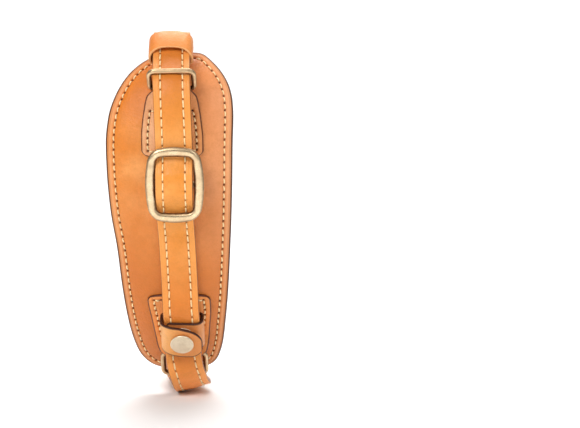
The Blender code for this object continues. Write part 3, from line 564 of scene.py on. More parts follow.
# heights of the layers' middles over the pad's face
pitch = STRAP_THICK + GAP
patch_on_pad = GAP + PATCH_THICK / 2
patch_on_ply = patch_on_pad + PATCH_THICK + GAP
ring_bar_v = GAP + PATCH_THICK + GAP + RING_WIRE / 2
loop_radius = RING_WIRE / 2 + GAP + PATCH_THICK / 2
on_pad_v = GAP + STRAP_THICK / 2
on_patch_v = 2 * GAP + PATCH_THICK + STRAP_THICK / 2
on_loop_v = ring_bar_v + loop_radius + PATCH_THICK / 2 + on_pad_v
keeper_offset = STRAP_THICK / 2 + GAP + KEEPER_THICK / 2
wire_offset = STRAP_THICK / 2 + GAP + RING_WIRE / 2
in_snap_v = on_patch_v + KEEPER_THICK + GAP

# places down the strap's line
top_fold_u = -0.225 * PAD_LENGTH
top_ring_u = 0.133 * PAD_LENGTH
slide_u = 0.372 * PAD_LENGTH
snap_u = 0.801 * PAD_LENGTH
base_ring_u = 0.902 * PAD_LENGTH
base_fold_u = 1.26 * PAD_LENGTH
keeper_high_u = 0.48
keeper_low_u = 6.6
snap_half = 5.2
slide_dip = 1.85
base_eye = 6.5
tail_u = snap_u - snap_half + 1.5
TOP_RING_TILT = math.radians(67)
BASE_RING_TILT = math.radians(22)
ring_span = (on_loop_v + pitch - RING_DIP + wire_offset - ring_bar_v) / math.sin(TOP_RING_TILT)
top_bar_u = top_ring_u - ring_span * math.cos(TOP_RING_TILT)
top_bar_v = ring_bar_v + ring_span * math.sin(TOP_RING_TILT)
base_bar_u = base_ring_u + ring_span * math.cos(BASE_RING_TILT)
base_bar_v = ring_bar_v + ring_span * math.sin(BASE_RING_TILT)
slide_top_u = slide_u - SLIDE_HEIGHT / 2
slide_low_u = slide_u + SLIDE_HEIGHT / 2
under_slide_v = on_patch_v + pitch
slide_end_v = under_slide_v + STRAP_THICK / 2 + 2 * GAP + SLIDE_END_BAR / 2
bar_v = slide_end_v - SLIDE_DISH
bar_loop = CENTRE_BAR / 2 + GAP + SKIVED_THICK / 2
over_slide_v = bar_v + bar_loop + SKIVED_THICK / 2 + GAP + STRAP_THICK / 2
in_keeper_v = max(0.0, beside_line(0.0)[1]) + on_pad_v + KEEPER_THICK + GAP
tip_u, tip_v = beside_line(PAD_LENGTH)
past_tip_v = tip_v + on_pad_v + 0.6
fold_reach = (FOLD_GAP + STRAP_THICK) / 2
top_fold_v = in_keeper_v + pitch / 2
base_fold_v = tip_v + on_pad_v + pitch - fold_reach
waist_u = top_fold_u + 0.35 * (keeper_high_u - top_fold_u)
lift_u = (top_ring_u + slide_top_u) / 2
down_the_back = [
    (keeper_high_u - 1, in_keeper_v), (keeper_low_u, in_keeper_v), (top_bar_u, on_loop_v - RING_DIP),
    (top_ring_u, on_loop_v), (lift_u, on_patch_v + STRAP_LIFT),
]
back_v = eased([
    (top_fold_u, top_fold_v - fold_reach), (waist_u, top_fold_v - 0.8 * fold_reach),
    *down_the_back, (slide_top_u, on_patch_v), (slide_u, bar_v - bar_loop),
])
front_v = eased([
    (top_fold_u, top_fold_v + fold_reach), (waist_u, top_fold_v + 0.8 * fold_reach),
    *((u, v + pitch) for u, v in down_the_back),
    (slide_top_u, under_slide_v), (slide_top_u + slide_dip, under_slide_v),
    (slide_u - 2.0, over_slide_v), (slide_u + 1.5, over_slide_v),
    (slide_low_u - slide_dip, under_slide_v), (slide_low_u, under_slide_v - GAP),
    (0.545 * PAD_LENGTH, on_pad_v), (0.660 * PAD_LENGTH, on_pad_v),
    (tail_u - GAP, in_snap_v + pitch), (snap_u + snap_half, in_snap_v + pitch),
    (base_ring_u, on_loop_v + pitch), (base_bar_u, base_bar_v + wire_offset),
    (tip_u, past_tip_v + pitch), (base_fold_u - base_eye, base_fold_v + fold_reach),
    (base_fold_u, base_fold_v + fold_reach),
])
return_v = eased([
    (tail_u, in_snap_v), (snap_u + snap_half, in_snap_v), (base_ring_u, on_loop_v),
    (base_bar_u, base_bar_v - wire_offset), (tip_u, past_tip_v),
    (base_fold_u - base_eye, base_fold_v - fold_reach), (base_fold_u, base_fold_v - fold_reach),
])


def bend(u, v, radius, start, end, count=60):
    """Points of an arc; its angle is 0 outward from the pad and 90 degrees down it."""
    angles = np.radians(np.linspace(start, end, count))
    return np.column_stack([u + radius * np.sin(angles), v + radius * np.cos(angles), 0 * angles])


def layer(start, end, height, is_front=0.0):
    """Points along one layer of the strap, as (u, v, whether it is the front layer)."""
    us = np.linspace(start, end, max(2, round(abs(end - start) / 0.2)))[1:-1]
    return np.column_stack([us, height(us), is_front + 0 * us])


class Band:
    """A band of leather whose middle follows surface(way, across), both in millimetres."""

    def __init__(self, surface, length, side=1):
        self.surface, self.length, self.side = surface, length, side

    def at(self, way, across, height):
        """Points at a height over the band's middle, and the ways out from its outer face."""
        way, across, height = np.broadcast_arrays(way, across, height)
        along = self.surface(way + 0.2, across) - self.surface(way - 0.2, across)
        over = self.surface(way, across + 0.2) - self.surface(way, across - 0.2)
        out = unit(np.cross(along, over)) * self.side
        return self.surface(way, across) + out * height[..., None] * MM, out


def corner_cut(way, radius):
    """How much a rounded corner takes off an edge at a way in from the end."""
    missing = np.clip(radius - way, 0, radius)
    return radius - np.sqrt(radius**2 - missing**2)


END_ROWS = np.array([0.0, 0.04, 0.13, 0.26, 0.42, 0.56])
SOFT = 0.42
INK_FADE = 0.12
RIM_FADE = 0.5


def cut_band(shell, band, low, high, thick, insets, middles, step, paint, rounding=SOFT,
             swell=np.zeros_like, rim=0.0, loop=False):
    """Adds a band between its two edges, with rounded and burnished edges and ends.

    low, high and thick are numbers, or functions of the way along. insets are columns measured
    from either edge, with middles more between them. paint is how far the edge's dark comes in
    over the faces, rim how far they are pale, and swell how high they are crowned at an inset.
    """
    last = END_ROWS[-1]
    ways = np.linspace(last, band.length - last, max(3, round((band.length - 2 * last) / step)))
    ways = np.concatenate([END_ROWS, ways[1:-1], band.length - END_ROWS[::-1]])
    if loop:
        ways = np.linspace(0, band.length, round(band.length / step), endpoint=False)
    ways = ways[:, None]
    sizes = (size(ways) if callable(size) else size for size in (low, high, thick))
    _, start, end, thickness = np.broadcast_arrays(ways, *sizes)
    middle, half = (start + end) / 2, (end - start) / 2
    round_off = np.minimum(rounding, 0.49 * thickness)
    corner = round_off * (1 - np.sin(np.radians([90, 65, 40, 18, 0])))
    squeeze = np.minimum(1, (0.94 * half - SOFT) / (insets[-1] - SOFT))
    inset = np.concatenate([corner, (np.array(insets) - SOFT) * squeeze + SOFT], axis=1)
    centre = np.linspace(-1, 1, middles + 2)[1:-1] * (half - inset[:, -1:])
    columns = np.concatenate([inset - half, centre, (half - inset)[:, ::-1]], axis=1)
    across = columns.shape[1]
    columns = np.concatenate([columns, columns[:, ::-1]], axis=1)
    side = np.repeat([1, -1], across)
    from_edge = half - abs(columns)
    from_end = from_edge if loop else np.minimum(ways, band.length - ways)
    drop = corner_cut(from_edge, round_off)
    if not loop:
        drop = np.maximum(drop, round_off * corner_cut(from_end / SOFT, 1.0))
    burnish = np.clip((paint - np.minimum(from_edge, from_end)) / INK_FADE + 1, 0, 1)
    pale = np.clip((rim - from_edge) / RIM_FADE, 0, 1)
    height = side * (thickness / 2 - drop) + swell(from_edge) * (side > 0)
    points, out = band.at(ways, middle + columns, height)
    points, out = points.reshape(-1, 3), (out * side[:, None]).reshape(-1, 3)
    numbers = shell.add(points, out, edge=burnish.ravel(), rim=pale.ravel())
    rows = np.reshape(numbers, (len(ways), -1)).tolist()
    shell.faces += quads(rows, looped=loop)
    for row in [] if loop else (rows[0], rows[-1]):
        shell.faces += quads([row[:across], row[:across - 1:-1]], closed=False)


skived_turn = bend(slide_u, bar_v, bar_loop, -35, 180)
base_flat = fold_reach - BASE_FOLD_RADIUS
strap_route = np.vstack([
    skived_turn,
    layer(slide_u, top_fold_u, back_v),
    bend(top_fold_u, top_fold_v, fold_reach, 180, 360),
    layer(top_fold_u, base_fold_u, front_v, 1.0),
    bend(base_fold_u, base_fold_v + base_flat, BASE_FOLD_RADIUS, 0, 90),
    bend(base_fold_u, base_fold_v - base_flat, BASE_FOLD_RADIUS, 90, 180),
    layer(base_fold_u, tail_u, return_v),
    [(tail_u, return_v(tail_u), 0.0)],
])
strap_way = travelled(beside(strap_route[:, 0], strap_route[:, 1]) / MM)
skived_to = strap_way[len(skived_turn)]
front_lean, front_turn = (eased(FRONT_LEAN, column) for column in (1, 2))


def strap_surface(way, across):
    """The strap's middle; across runs from minus to plus half its width."""
    u, v, is_front = (np.interp(way, strap_way, column) for column in strap_route.T)
    right = STRAP_WIDTH / 2 + is_front * front_lean(u / PAD_LENGTH) * STRAP_WIDTH
    turn = is_front * np.radians(front_turn(u / PAD_LENGTH))
    from_right = STRAP_WIDTH / 2 - across
    return beside(u, v + from_right * np.sin(turn), right - from_right * np.cos(turn))


def strap_thickness(way):
    """Full thickness but for the skived turn round the slide's centre bar."""
    return np.interp(way, (skived_to, skived_to + 8), (SKIVED_THICK, STRAP_THICK))


strap_leather = leather(
    "saddle_leather", deep=(0.84, 0.29, 0.036), pale=(0.94, 0.40, 0.10), edge=(0.34, 0.11, 0.03),
    hole=(0.12, 0.035, 0.010), gloss=0.38,
    # painted shade: darker down towards the snap keeper
    drifts=[("Z", -0.05, -0.078, 0.95, (0.72, 0.205, 0.028)),
            # painted shade: darker at the top, under the top keeper
            ("Z", -0.02, -0.002, 0.95, (0.66, 0.19, 0.024)),
            # painted highlight: paler round the base fold
            ("Z", -0.094, -0.103, 0.9, (0.97, 0.34, 0.08))],
)
strap_crown = eased([(0, 0.0), (0.75, 0.02), (0.95, -0.06), (1.2, 0.04), (2.45, 0.0), (3.6, 0.18),
                     (6.1, 0.3)])
strap_band = Band(strap_surface, strap_way[-1])
strap = Shell()
cut_band(
    strap, strap_band, -STRAP_WIDTH / 2, STRAP_WIDTH / 2, strap_thickness,
    insets=(0.55, 0.75, 0.95, 1.2, 1.8, 2.15, 2.32, 2.45, 2.58, 2.75, 3.1, 3.6), middles=6,
    step=0.4, paint=0.12, swell=strap_crown, rim=2.3,
)
seam_ways = np.arange(0.5, strap_band.length - 0.5, 0.4)
stitch_ways = np.arange(1.6, strap_band.length - 1.2, STRAP_STITCH)
strap_threads = []
for side, edge in ((1, -1), (1, 1), (-1, -1), (-1, 1)):
    across = edge * (STRAP_WIDTH / 2 - STRAP_SEAM_INSET)
    (seam, seam_out), (holes, out) = (
        strap_band.at(ways, across, side * strap_thickness(ways) / 2) for ways in (seam_ways, stitch_ways)
    )
    strap.press(seam, holes, side * seam_out, depth=0.12, hole_depth=0.4, hole_spread=0.26)
    strap_threads.append((holes, side * out, side * edge))
strap.made("stitched_strap", strap_leather, "saddle_leather", "strap")
for number, (holes, out, slant) in enumerate(strap_threads):
    sewn("strap_stitches_%d" % number, holes, out, "saddle_leather", slant=0.07 * slant, span=0.72)


# Patches: two leather tabs, each sewn on the pad by a saddle-stitched seam with the awl's holes
# left open, and folded round the bar of its ring. Their edges are dyed dark brown.
PATCH_CORNER = 2.0
PATCH_ARCH = 1.8
PATCH_LEFT_OF_STRAP = 0.7
UNDER_PLY_LENGTH = 4.4
PLY_STEP_LENGTH = 2.8
PATCH_SEAM_INSET = 2.2
PATCH_SEAM_STOP = 1.6
PATCH_STITCH = 2.3
PATCH_THREAD = 0.6
# outlines: share of the way to the ring, half width as a share of the widest
TOP_OUTLINE = [(0.0, 1.0), (0.3, 1.0), (0.52, 0.965), (0.74, 0.9), (0.88, 0.82), (1.0, 0.56)]
BASE_OUTLINE = [(0.0, 1.0), (0.2, 0.99), (0.5, 0.925), (0.8, 0.85), (0.92, 0.76), (1.0, 0.54)]
patch_leather = leather(
    "patch_leather", deep=(0.82, 0.36, 0.14), pale=(0.92, 0.49, 0.25), edge=(0.10, 0.028, 0.010),
    hole=(0.035, 0.008, 0.004),
    # painted shade of the strap: deeper orange towards the right
    drifts=[("X", 0.001, 0.007, 0.85, (0.84, 0.33, 0.10)),
            ("Z", -0.045, -0.075, 0.9, (0.88, 0.30, 0.065))],
)


def patch(name, sewn_end, ring_u, width, outline):
    """A patch from its sewn end, over a ring's bar and a short way back beneath."""
    toward = 1 if ring_u > sewn_end else -1
    reach = abs(ring_u - sewn_end)
    heights = eased([
        (0.0, patch_on_pad), (reach - UNDER_PLY_LENGTH - PLY_STEP_LENGTH, patch_on_pad),
        (reach - UNDER_PLY_LENGTH + GAP, patch_on_ply), (reach, ring_bar_v + loop_radius),
    ])
    half_at = eased(outline)
    neck = half_at(1.0) * width / 2
    share = np.linspace(0, 1, 160)
    over = np.column_stack([
        sewn_end + toward * share * reach, heights(share * reach), half_at(share) * width / 2,
        1 - share**3, 4 * PATCH_ARCH / width**2 * (1 - share) ** 4,
    ])
    turn = bend(ring_u, ring_bar_v, loop_radius, 0, 180 * toward)[1:, :2]
    under_u = np.linspace(ring_u, ring_u - toward * UNDER_PLY_LENGTH, 30)[1:]
    folded = np.vstack([turn, np.column_stack([under_u, patch_on_pad + 0 * under_u])])
    route = np.vstack([over, np.column_stack([folded, neck + 0 * folded[:, 0], 0 * folded])])
    way_at = travelled(beside(route[:, 0], route[:, 1]) / MM)

    def surface(way, across):
        u, v, _, flat, arch = (np.interp(way, way_at, column) for column in route.T)
        x = across - PATCH_LEFT_OF_STRAP * flat
        from_middle = x + wander(u / PAD_LENGTH) * STRAP_WIDTH
        fallen = flat * PAD_SAG * (2 * from_middle / PAD_WIDTH) ** 2
        return beside(u + toward * arch * across**2, v - fallen, x)

    def half(way):
        return np.interp(way, way_at, route[:, 2]) - corner_cut(way, PATCH_CORNER)

    tab = Band(surface, way_at[-1], side=toward)
    shell = Shell()
    cut_band(
        shell, tab, lambda way: -half(way), half, PATCH_THICK,
        insets=(0.55, 0.8, 1.2, 1.55, 1.8, 2.0, 2.2, 2.4, 2.65, 3.1, 3.6), middles=12,
        step=0.3, paint=0.38, swell=eased([(0, 0.0), (1.9, 0.0), (3.5, 0.12), (10, 0.2)]),
    )
    side_ways = np.linspace(PATCH_SEAM_INSET, reach - UNDER_PLY_LENGTH - PATCH_SEAM_STOP, 120)
    side_at = half(side_ways) - PATCH_SEAM_INSET
    left, right = (np.column_stack([side_ways, side * side_at]) for side in (-1, 1))
    loop = resampled(np.vstack([left, right[::-1]]), 500, closed=True)
    length = travelled(np.vstack([loop, loop[:1]]))[-1]
    stations = resampled(loop, round(length / PATCH_STITCH), closed=True)
    (seam, seam_out), (holes, out) = (tab.at(*at.T, PATCH_THICK / 2) for at in (loop, stations))
    shell.press(seam, holes, seam_out, depth=0.2, hole_depth=0.6, hole_spread=0.37)
    shell.made(name + "_leather", patch_leather, "pad_leather", name)
    sewn(name + "_stitches", holes, out, "pad_leather", slant=-0.2 * toward, span=0.5,
         closed=True, width=PATCH_THREAD)


patch("top_patch", 0.315 * PAD_LENGTH, top_ring_u, width=20.1, outline=TOP_OUTLINE)
patch("base_patch", 0.701 * PAD_LENGTH, base_ring_u, width=21.0, outline=BASE_OUTLINE)


# Rings: round brass wire bent to a rectangle, its ends brazed at the bar inside the patch's fold.
# The brass is barrel polished and antiqued, and rubbed bright where the strap runs over it.
RING_CORNER = 1.9
RING_SIDES = 28


def antique_brass(name, bright, dark, roughness, speckle):
    """Antiqued brass: a brown film left in the hollows, rubbed through on the high places.

    The mark "edge" darkens the inner sides and outer edges of the bars: partly the film left there,
    partly painted shade.
    """
    brass = Finish(name, roughness, metallic=1.0)
    film = brass.between(brass.noise(330, 4, 0.6), 0.38, 0.7)
    spots = brass.between(brass.noise(2100, 3, 0.7), 0.52, 0.72, 0.0, speckle)
    rubbed = brass.between(brass.node("NewGeometry", "Pointiness", {}), 0.49, 0.56, 0.0, 0.6)
    colour = brass.mixed(brass.sum((film, 0.45), (spots, 0.9)), bright, dark)
    colour = brass.mixed(rubbed, colour, tuple(min(1, 1.12 * c) for c in bright))
    # brown film with painted shade on the bars' inner sides and outer edges
    film_and_shade = brass.between(brass.sum((brass.mark("edge"), 0.85), (brass.noise(900, 2), 0.25)), 0.25, 1.0)
    colour = brass.mixed(film_and_shade, colour, (0.13, 0.066, 0.027))
    dull = brass.sum((film, 0.1), (spots, 0.12), (film_and_shade, 0.3))
    dull = brass.between(dull, 0.0, 0.5, roughness, roughness + 0.5)
    brass.shade({"Base Color": colour, "Roughness": dull})
    pits = brass.sum((brass.noise(1500, 3, 0.6), 1.0), (brass.noise(300, 2), 1.0))
    brass.relief(pits, 0.008 + 0.012 * speckle)
    return brass.material


def rounded_rectangle(half_width, half_height, radius, corner_points, side_points):
    """Points round a rectangle with round corners, as (across, along)."""
    corners = []
    for turn, (side, end) in enumerate([(1, 1), (-1, 1), (-1, -1), (1, -1)]):
        angle = np.radians(np.linspace(90 * turn, 90 * turn + 90, corner_points))
        middle = (side * (half_width - radius), end * (half_height - radius))
        corners.append(middle + radius * np.column_stack([np.cos(angle), np.sin(angle)]))
    share = np.linspace(0, 1, side_points + 2)[1:-1, None]
    sides = [here[-1] + (after[0] - here[-1]) * share
             for here, after in zip(corners, corners[1:] + corners[:1])]
    return np.vstack([part for pair in zip(corners, sides) for part in pair])


def facing(centre, low, high):
    """A place at centre, and its ways across, from low up to high and away from the pad."""
    along = unit(high - low)
    across = unit((1, 0, 0) - along * along[0])
    return centre, np.array([across, along, np.cross(across, along)])


def set_in(place, points):
    """Points in metres from points in a place's own millimetres."""
    return place[0] + points.reshape(-1, 3) @ place[1] * MM


def tube(name, middle, radius, finish, place, *nodes, looped=True):
    """A round bar along points in a place's own millimetres."""
    along = np.roll(middle, -1, axis=0) - np.roll(middle, 1, axis=0)
    if not looped:
        along[0], along[-1] = middle[1] - middle[0], middle[-1] - middle[-2]
    along = unit(along)
    side = unit(np.cross(along, (0.0, 0.0, 1.0) if looped else (0.0, 1.0, 0.0)))
    top = np.cross(side, along)
    angle = np.linspace(0, 2 * np.pi, RING_SIDES, endpoint=False)[:, None]
    round_it = side[:, None] * np.cos(angle) + top[:, None] * np.sin(angle)
    inner, outer = -np.cos(angle), np.cos(angle)
    # film with painted shade: dark on the wire's inner side, some on its outer side, and over all the
    # centre bar
    film_and_shade = np.clip((inner - 0.15) / 0.4, 0, 1) + 0.4 * np.clip((outer - 0.6) / 0.3, 0, 1)
    film_and_shade = np.tile(film_and_shade if looped else 0.4 + 0 * angle, (len(middle), 1))
    faces = tube_faces(len(middle), RING_SIDES, looped)
    points = set_in(place, middle[:, None] + radius * round_it)
    return finished(name, points, faces, finish, "antique_brass", *nodes, edge=film_and_shade.ravel())


ring_brass = antique_brass("ring_brass", (0.70, 0.50, 0.29), (0.28, 0.18, 0.10), 0.31, 0.2)
for name, held, free in (
    ("top_ring", (top_ring_u, ring_bar_v), (top_bar_u, top_bar_v)),
    ("base_ring", (base_ring_u, ring_bar_v), (base_bar_u, base_bar_v)),
):
    held_at, free_at = beside(*held), beside(*free)
    ring_frame = facing((held_at + free_at) / 2, held_at, free_at)
    half_length = np.linalg.norm(free_at - held_at) / MM / 2
    loop = rounded_rectangle(STRAP_WIDTH / 2 + GAP + RING_WIRE / 2, half_length, RING_CORNER, 14, 16)
    middle = np.column_stack([loop, 0 * loop[:, 0]])
    tube(name + "_wire", middle, RING_WIRE / 2, ring_brass, ring_frame, name)


# Slide buckle: one brass casting, a bowed frame of oval section with its centre bar set back
# towards the pad. It is tumbled and antiqued, and its skin is finely pitted.
SLIDE_SIDE_BAR = 2.1
SLIDE_CORNER = 1.5
SLIDE_INNER_BOW = 0.4
SLIDE_OUTER_BOW = 1.5
SLIDE_SNUG = 0.46
SLIDE_RIGHT = 0.16
OVAL = 2.15
BAR_TURN = 1.1
window_half_width = STRAP_WIDTH / 2 + GAP - SLIDE_SNUG
window_half_height = SLIDE_HEIGHT / 2 - SLIDE_END_BAR / 2


def bowed(half_width, half_height, corner, bow):
    """A rounded rectangle whose four sides swell outward by bow."""
    loop = rounded_rectangle(half_width, half_height, corner, 16, 30)
    share = loop[:, ::-1] / (half_height, half_width)
    return loop + np.sign(loop) * bow * (1 - share**2)


slide_brass = antique_brass("slide_brass", (0.91, 0.70, 0.44), (0.46, 0.30, 0.16), 0.25, 0.3)
slide_low, slide_high = (beside(u, slide_end_v, SLIDE_RIGHT) for u in (slide_low_u, slide_top_u))
slide_frame = facing((slide_low + slide_high) / 2, slide_low, slide_high)
outer = bowed(window_half_width + SLIDE_SIDE_BAR, window_half_height + SLIDE_END_BAR,
              SLIDE_CORNER + 0.7 * SLIDE_SIDE_BAR, SLIDE_OUTER_BOW)
inner = bowed(window_half_width, window_half_height, SLIDE_CORNER, SLIDE_INNER_BOW)
angle = np.linspace(0, 2 * np.pi, 32, endpoint=False)
wide, deep = (np.sign(way) * abs(way) ** (2 / OVAL) for way in (np.cos(angle), np.sin(angle)))
deep *= SLIDE_END_BAR / 2
flat = (outer[:, None] + inner[:, None]) / 2 + (outer - inner)[:, None] / 2 * wide[:, None]
frame_points = np.dstack([flat, np.broadcast_to(deep, flat.shape[:2])])
# film with painted shade on the frame's inner side and outer edge
film_and_shade = np.clip((-wide - 0.35) / 0.5, 0, 1) + 0.66 * np.clip((wide - 0.35) / 0.5, 0, 1)
finished("slide_frame", set_in(slide_frame, frame_points), tube_faces(len(outer), len(angle)),
         slide_brass, "antique_brass", "slide", edge=np.tile(film_and_shade, len(outer)))
_, bar_y, bar_z = slide_frame[1] @ (beside(slide_u, bar_v) - slide_frame[0]) / MM
post_x = window_half_width + SLIDE_INNER_BOW + SLIDE_SIDE_BAR / 2
left = [(-post_x, bar_y, -0.1), (-post_x, bar_y, -0.6)]
left += [(BAR_TURN - post_x - c, bar_y, bar_z + BAR_TURN - s)
         for s, c, _ in bend(0, 0, BAR_TURN, 90, 0, 9)]
middle = np.array(left + [(-x, y, z) for x, y, z in left[::-1]])
tube("slide_centre_bar", middle, CENTRE_BAR / 2, slide_brass, slide_frame, looped=False)


# Top keeper: a plain loop of the same leather under the top fold, its ends skived and glued
# behind. It is moulded wet over both layers, so that its front is domed.
KEEPER_CORNER = 1.1
KEEPER_DOME = 1.25
KEEPER_FORM = 2.75
KEEPER_LEFT = 0.25
KEEPER_LIP = 1.5
KEEPER_LENGTH = 8.5
KEEPER_LOW_SPARE = 0.3
keeper_half_width = STRAP_WIDTH / 2 + GAP + KEEPER_THICK / 2
keeper_half_depth = pitch / 2 + keeper_offset
keeper_back = rounded_rectangle(keeper_half_width, keeper_half_depth, KEEPER_CORNER, 12, 30)
arc = np.radians(np.linspace(0, 180, 121))
keeper_front = np.column_stack([
    keeper_half_width * np.sign(np.cos(arc)) * abs(np.cos(arc)) ** (2 / KEEPER_FORM),
    (keeper_half_depth + KEEPER_DOME) * np.sin(arc) ** (2 / KEEPER_FORM),
])
keeper_route = np.vstack([keeper_front, keeper_back[keeper_back[:, 1] < -0.2], keeper_front[:1]])
keeper_way = travelled(keeper_route)
keeper_leather = leather(
    "keeper_leather", deep=(0.76, 0.225, 0.036), pale=(0.88, 0.33, 0.085), edge=(0.85, 0.45, 0.18),
)


def keeper_surface(way, across):
    """The top keeper's middle; across runs down the strap, and its front ends higher."""
    x, y = (np.interp(way, keeper_way, column, period=keeper_way[-1]) for column in keeper_route.T)
    raised = KEEPER_LIP * np.clip(y / (keeper_half_depth + KEEPER_DOME), 0, 1) ** 2
    low = keeper_low_u + KEEPER_LOW_SPARE - raised
    u = keeper_high_u + (low - keeper_high_u) * (across / KEEPER_LENGTH + 0.5)
    return beside(u, (back_v(u) + front_v(u)) / 2 + y, x - KEEPER_LEFT)


keeper = Shell()
cut_band(
    keeper, Band(keeper_surface, keeper_way[-1]), -KEEPER_LENGTH / 2, KEEPER_LENGTH / 2, KEEPER_THICK,
    insets=(0.6, 0.9, 1.4), middles=14, step=0.25, paint=0.2, loop=True,
)
keeper.made("top_keeper_loop", keeper_leather, "saddle_leather", "top_keeper")


# Snap keeper: a band of thin leather round the lower strap, cut with a round tongue that laps
# over its other end and closes with a press stud. Its edges are painted very dark brown.
FLAP_CORNER = 4.5
FLAP_TIP_CORNER = 4.2
FLAP_NOTCH = 1.5
FLAP_BELLY = 0.8
FLAP_RISE = 0.4
FOLD_CORNER = 2.4
INNER_FLAP_LENGTH = 11.9
INNER_FLAP_CORNER = 1.2
SOCKET_THICK = 1.0
STUD_THICK = 0.4
inner_flap_v = in_snap_v + pitch + keeper_offset
outer_flap_v = inner_flap_v + KEEPER_THICK + 3 * GAP + STUD_THICK + SOCKET_THICK
snap_back_v = in_snap_v - keeper_offset


def rounded_route(corners):
    """An open route through corners given as (across, height, radius), each one rounded."""
    corners = np.array(corners)
    route = [corners[:1, :2]]
    for before, (*corner, radius), after in zip(corners[:, :2], corners[1:], corners[2:, :2]):
        back, ahead = unit(before - corner), unit(after - corner)
        half_angle = math.acos(back @ ahead) / 2
        middle = corner + unit(back + ahead) * radius / math.sin(half_angle)
        spoke = corner + back * radius / math.tan(half_angle) - middle
        turn = np.linspace(0, math.pi - 2 * half_angle, 24)[:, None]
        route.append(middle + spoke * np.cos(turn) - back * radius * np.sin(turn))
    return np.vstack([*route, corners[-1:, :2]])


snap_route = rounded_route([
    (keeper_half_width - INNER_FLAP_LENGTH, inner_flap_v, 0.0),
    (keeper_half_width, inner_flap_v + FLAP_RISE, FOLD_CORNER),
    (keeper_half_width, snap_back_v, KEEPER_CORNER),
    (-keeper_half_width, snap_back_v, KEEPER_CORNER),
    (-keeper_half_width, outer_flap_v, FLAP_CORNER), (keeper_half_width, outer_flap_v, 0.0),
])
snap_way = travelled(snap_route)
notch = eased([(0.0, 0.0), (0.68, 0.0), (0.77, -0.4), (0.83, -0.25), (0.90, 0.35), (0.95, 0.8),
               (1.0, 1.0)])
belly = eased([(0.0, 0.0), (0.76, 0.0), (0.88, 1.0), (1.0, 0.95)])


def snap_surface(way, across):
    """The snap keeper's middle; across is the way down the strap."""
    x, v = (np.interp(way, snap_way, column) for column in snap_route.T)
    return beside(across, v, x)


def snap_cut(way):
    """What its rounded ends take off both edges."""
    return corner_cut(snap_way[-1] - way, FLAP_TIP_CORNER) + corner_cut(way, INNER_FLAP_CORNER)


snap_leather = leather(
    "snap_keeper_leather", deep=(0.92, 0.42, 0.10), pale=(0.98, 0.52, 0.17), edge=(0.045, 0.014, 0.008),
    # painted shade: darker towards the right
    gloss=0.38, drifts=[("X", 0.001, 0.011, 0.8, (0.68, 0.22, 0.065))],
)
snap = Shell()
cut_band(
    snap, Band(snap_surface, snap_way[-1], side=-1),
    lambda way: snap_u - snap_half + snap_cut(way) + FLAP_NOTCH * notch(way / snap_way[-1]),
    lambda way: snap_u + snap_half - snap_cut(way) + FLAP_BELLY * belly(way / snap_way[-1]),
    KEEPER_THICK, insets=(0.6, 0.9, 1.4), middles=16, step=0.25, rounding=0.2, paint=0.34,
)
snap.made("snap_keeper_band", snap_leather, "saddle_leather", "snap_keeper")


# Press stud: drawn brass, riveted through the leather. The cap is a dull pale brass button with
# a rolled edge, and the socket behind it grips the stud's bulb.
CAP_RADIUS = 3.85
CAP_THICK = 0.7
CAP_DOME = 0.35
CAP_DOMED = 0.84
CAP_ROLL = 0.36
STUD_SEGMENTS = 72
flap_at, flap_low, flap_high = (beside(snap_u + down, outer_flap_v) for down in (0, 1, -1))
flap_frame = facing(flap_at, flap_low, flap_high)
cap_brass = antique_brass("cap_brass", (0.86, 0.76, 0.58), (0.58, 0.48, 0.33), 0.42, 0.1)


def turned(name, profile, *nodes):
    """A piece turned round the press stud's axis from a profile of (radius, height)."""
    radius, height = np.array(profile).T[:, :, None]
    angle = np.linspace(0, 2 * np.pi, STUD_SEGMENTS, endpoint=False)
    points = np.dstack([radius * np.cos(angle), radius * np.sin(angle), height + 0 * angle])
    faces = tube_faces(len(profile), STUD_SEGMENTS, looped=False)
    finished(name, set_in(flap_frame, points), faces, cap_brass, "antique_brass", *nodes)


cap_low = KEEPER_THICK / 2 + 0.02
cap_high = cap_low + GAP + CAP_THICK
dome = [(r * CAP_RADIUS, cap_high + CAP_DOME * (1 - (r / CAP_DOMED) ** 2))
        for r in np.linspace(0.01, CAP_DOMED, 16)]
roll = [(CAP_RADIUS - CAP_ROLL + CAP_ROLL * math.sin(a), cap_high - 0.3 + CAP_ROLL * math.cos(a))
        for a in np.radians(np.linspace(-30, 150, 14))]
socket_high = -KEEPER_THICK / 2
socket_low = socket_high - GAP - SOCKET_THICK
bore_high = socket_high - 2 * GAP
turned(
    "snap_cap_button",
    dome + roll + [(3.3, cap_low), (1.5, cap_low), (1.5, socket_high), (2.4, socket_high),
                   (2.72, socket_high - 0.12), (2.8, socket_high - 0.35), (2.8, socket_low + 0.25),
                   (2.66, socket_low + 0.06), (2.4, socket_low), (1.9, socket_low),
                   (1.72, socket_low + 0.14), (1.7, bore_high), (0.01, bore_high)],
    "snap_cap",
)
bulb_high = bore_high - GAP
base_high = socket_low - GAP
turned(
    "snap_stud_base",
    [(0.01, bulb_high), (1.1, bulb_high), (1.36, bulb_high - 0.2), (1.4, bulb_high - 0.5),
     (1.2, base_high + 0.05), (1.5, base_high), (3.7, base_high), (4.05, base_high - 0.06),
     (4.2, base_high - 0.2), (4.05, base_high - 0.4), (0.01, base_high - 0.4)],
    "snap_stud",
)


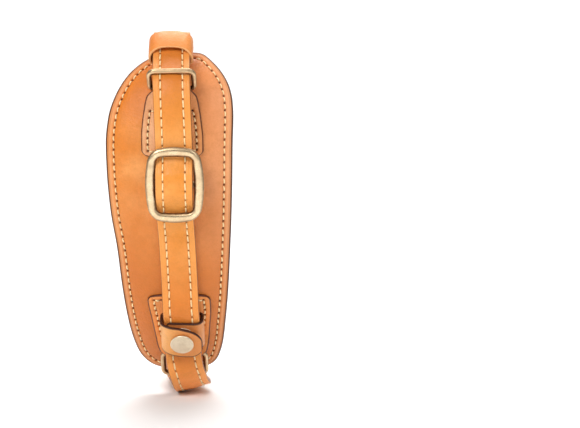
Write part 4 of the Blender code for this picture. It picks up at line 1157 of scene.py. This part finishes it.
# Photograph's stand: a sheet of white paper, swept up behind the strap without a crease. A soft
# key light comes from the upper left, a weaker one from the right, and two light the paper.
FLOOR = float(min(solid_box[0][2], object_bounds()[0][2])) - 0.00005
sweep = bpy.data.meshes.new("paper_sweep")
curve = [(0.9 + 0.3 * math.sin(a), 0.3 - 0.3 * math.cos(a)) for a in np.linspace(0.1, math.pi / 2, 12)]
profile = [(-1.6, 0.0), (0.9, 0.0), *curve, (1.2, 1.8)]
points = [(x, y, z + FLOOR) for y, z in profile for x in (-2.2, 2.2)]
sweep.from_pydata(points, [], [(i, i + 1, i + 3, i + 2) for i in range(0, len(points) - 2, 2)])
paper = Finish("white_paper", 0.85)
paper.shade({"Base Color": (0.92, 0.92, 0.92, 1.0)})
sweep.materials.append(paper.material)
sweep.shade_smooth()
linked("paper_sweep", sweep)
SUBJECT = (0.0, 0.0, -0.05)
for name, place, target, size, watts, colour in (
    ("key", (-0.35, -0.7, 0.5), SUBJECT, 0.4, 5.2, (1.0, 0.98, 0.95)),
    ("fill", (0.6, -0.55, 0.5), SUBJECT, 0.4, 2.4, (0.97, 0.98, 1.0)),
    ("back", (0.0, 0.3, 0.75), (0.0, 0.05, FLOOR), 0.8, 5.0, (1.0, 1.0, 1.0)),
    ("backdrop", (0.0, 0.7, 1.1), (0.0, 1.1, 0.0), 0.8, 10.0, (1.0, 1.0, 1.0)),
):
    light = bpy.data.lights.new(name, "AREA")
    light.size, light.energy, light.color = size, watts, colour
    softbox = linked(name, light)
    softbox.location = place
    softbox.rotation_euler = (Vector(target) - Vector(place)).to_track_quat("-Z", "Y").to_euler()
world = bpy.data.worlds.new("studio")
world.use_nodes = True
background = world.node_tree.nodes["Background"].inputs
background["Color"].default_value = (1.0, 1.0, 1.0, 1.0)
background["Strength"].default_value = 0.2
bpy.context.scene.world = world
bpy.context.scene.view_settings.view_transform = "Standard"


# Photograph's view: from 0.7 m in front of the strap, through a narrow angle and tipped down a
# little. It is taken level with the middle of the pad, and a little to the right of it.
TIPPED_DOWN = math.radians(5)
narrow = bpy.data.cameras.new("photo")
narrow.lens = 134.07
view = linked("photo", narrow)
look = Vector((0, math.cos(TIPPED_DOWN), -math.sin(TIPPED_DOWN)))
view.location = Vector((0.03881, -0.04191, -0.05058)) - look * 0.7
view.rotation_euler = look.to_track_quat("-Z", "Y").to_euler()
bpy.context.scene.camera = view
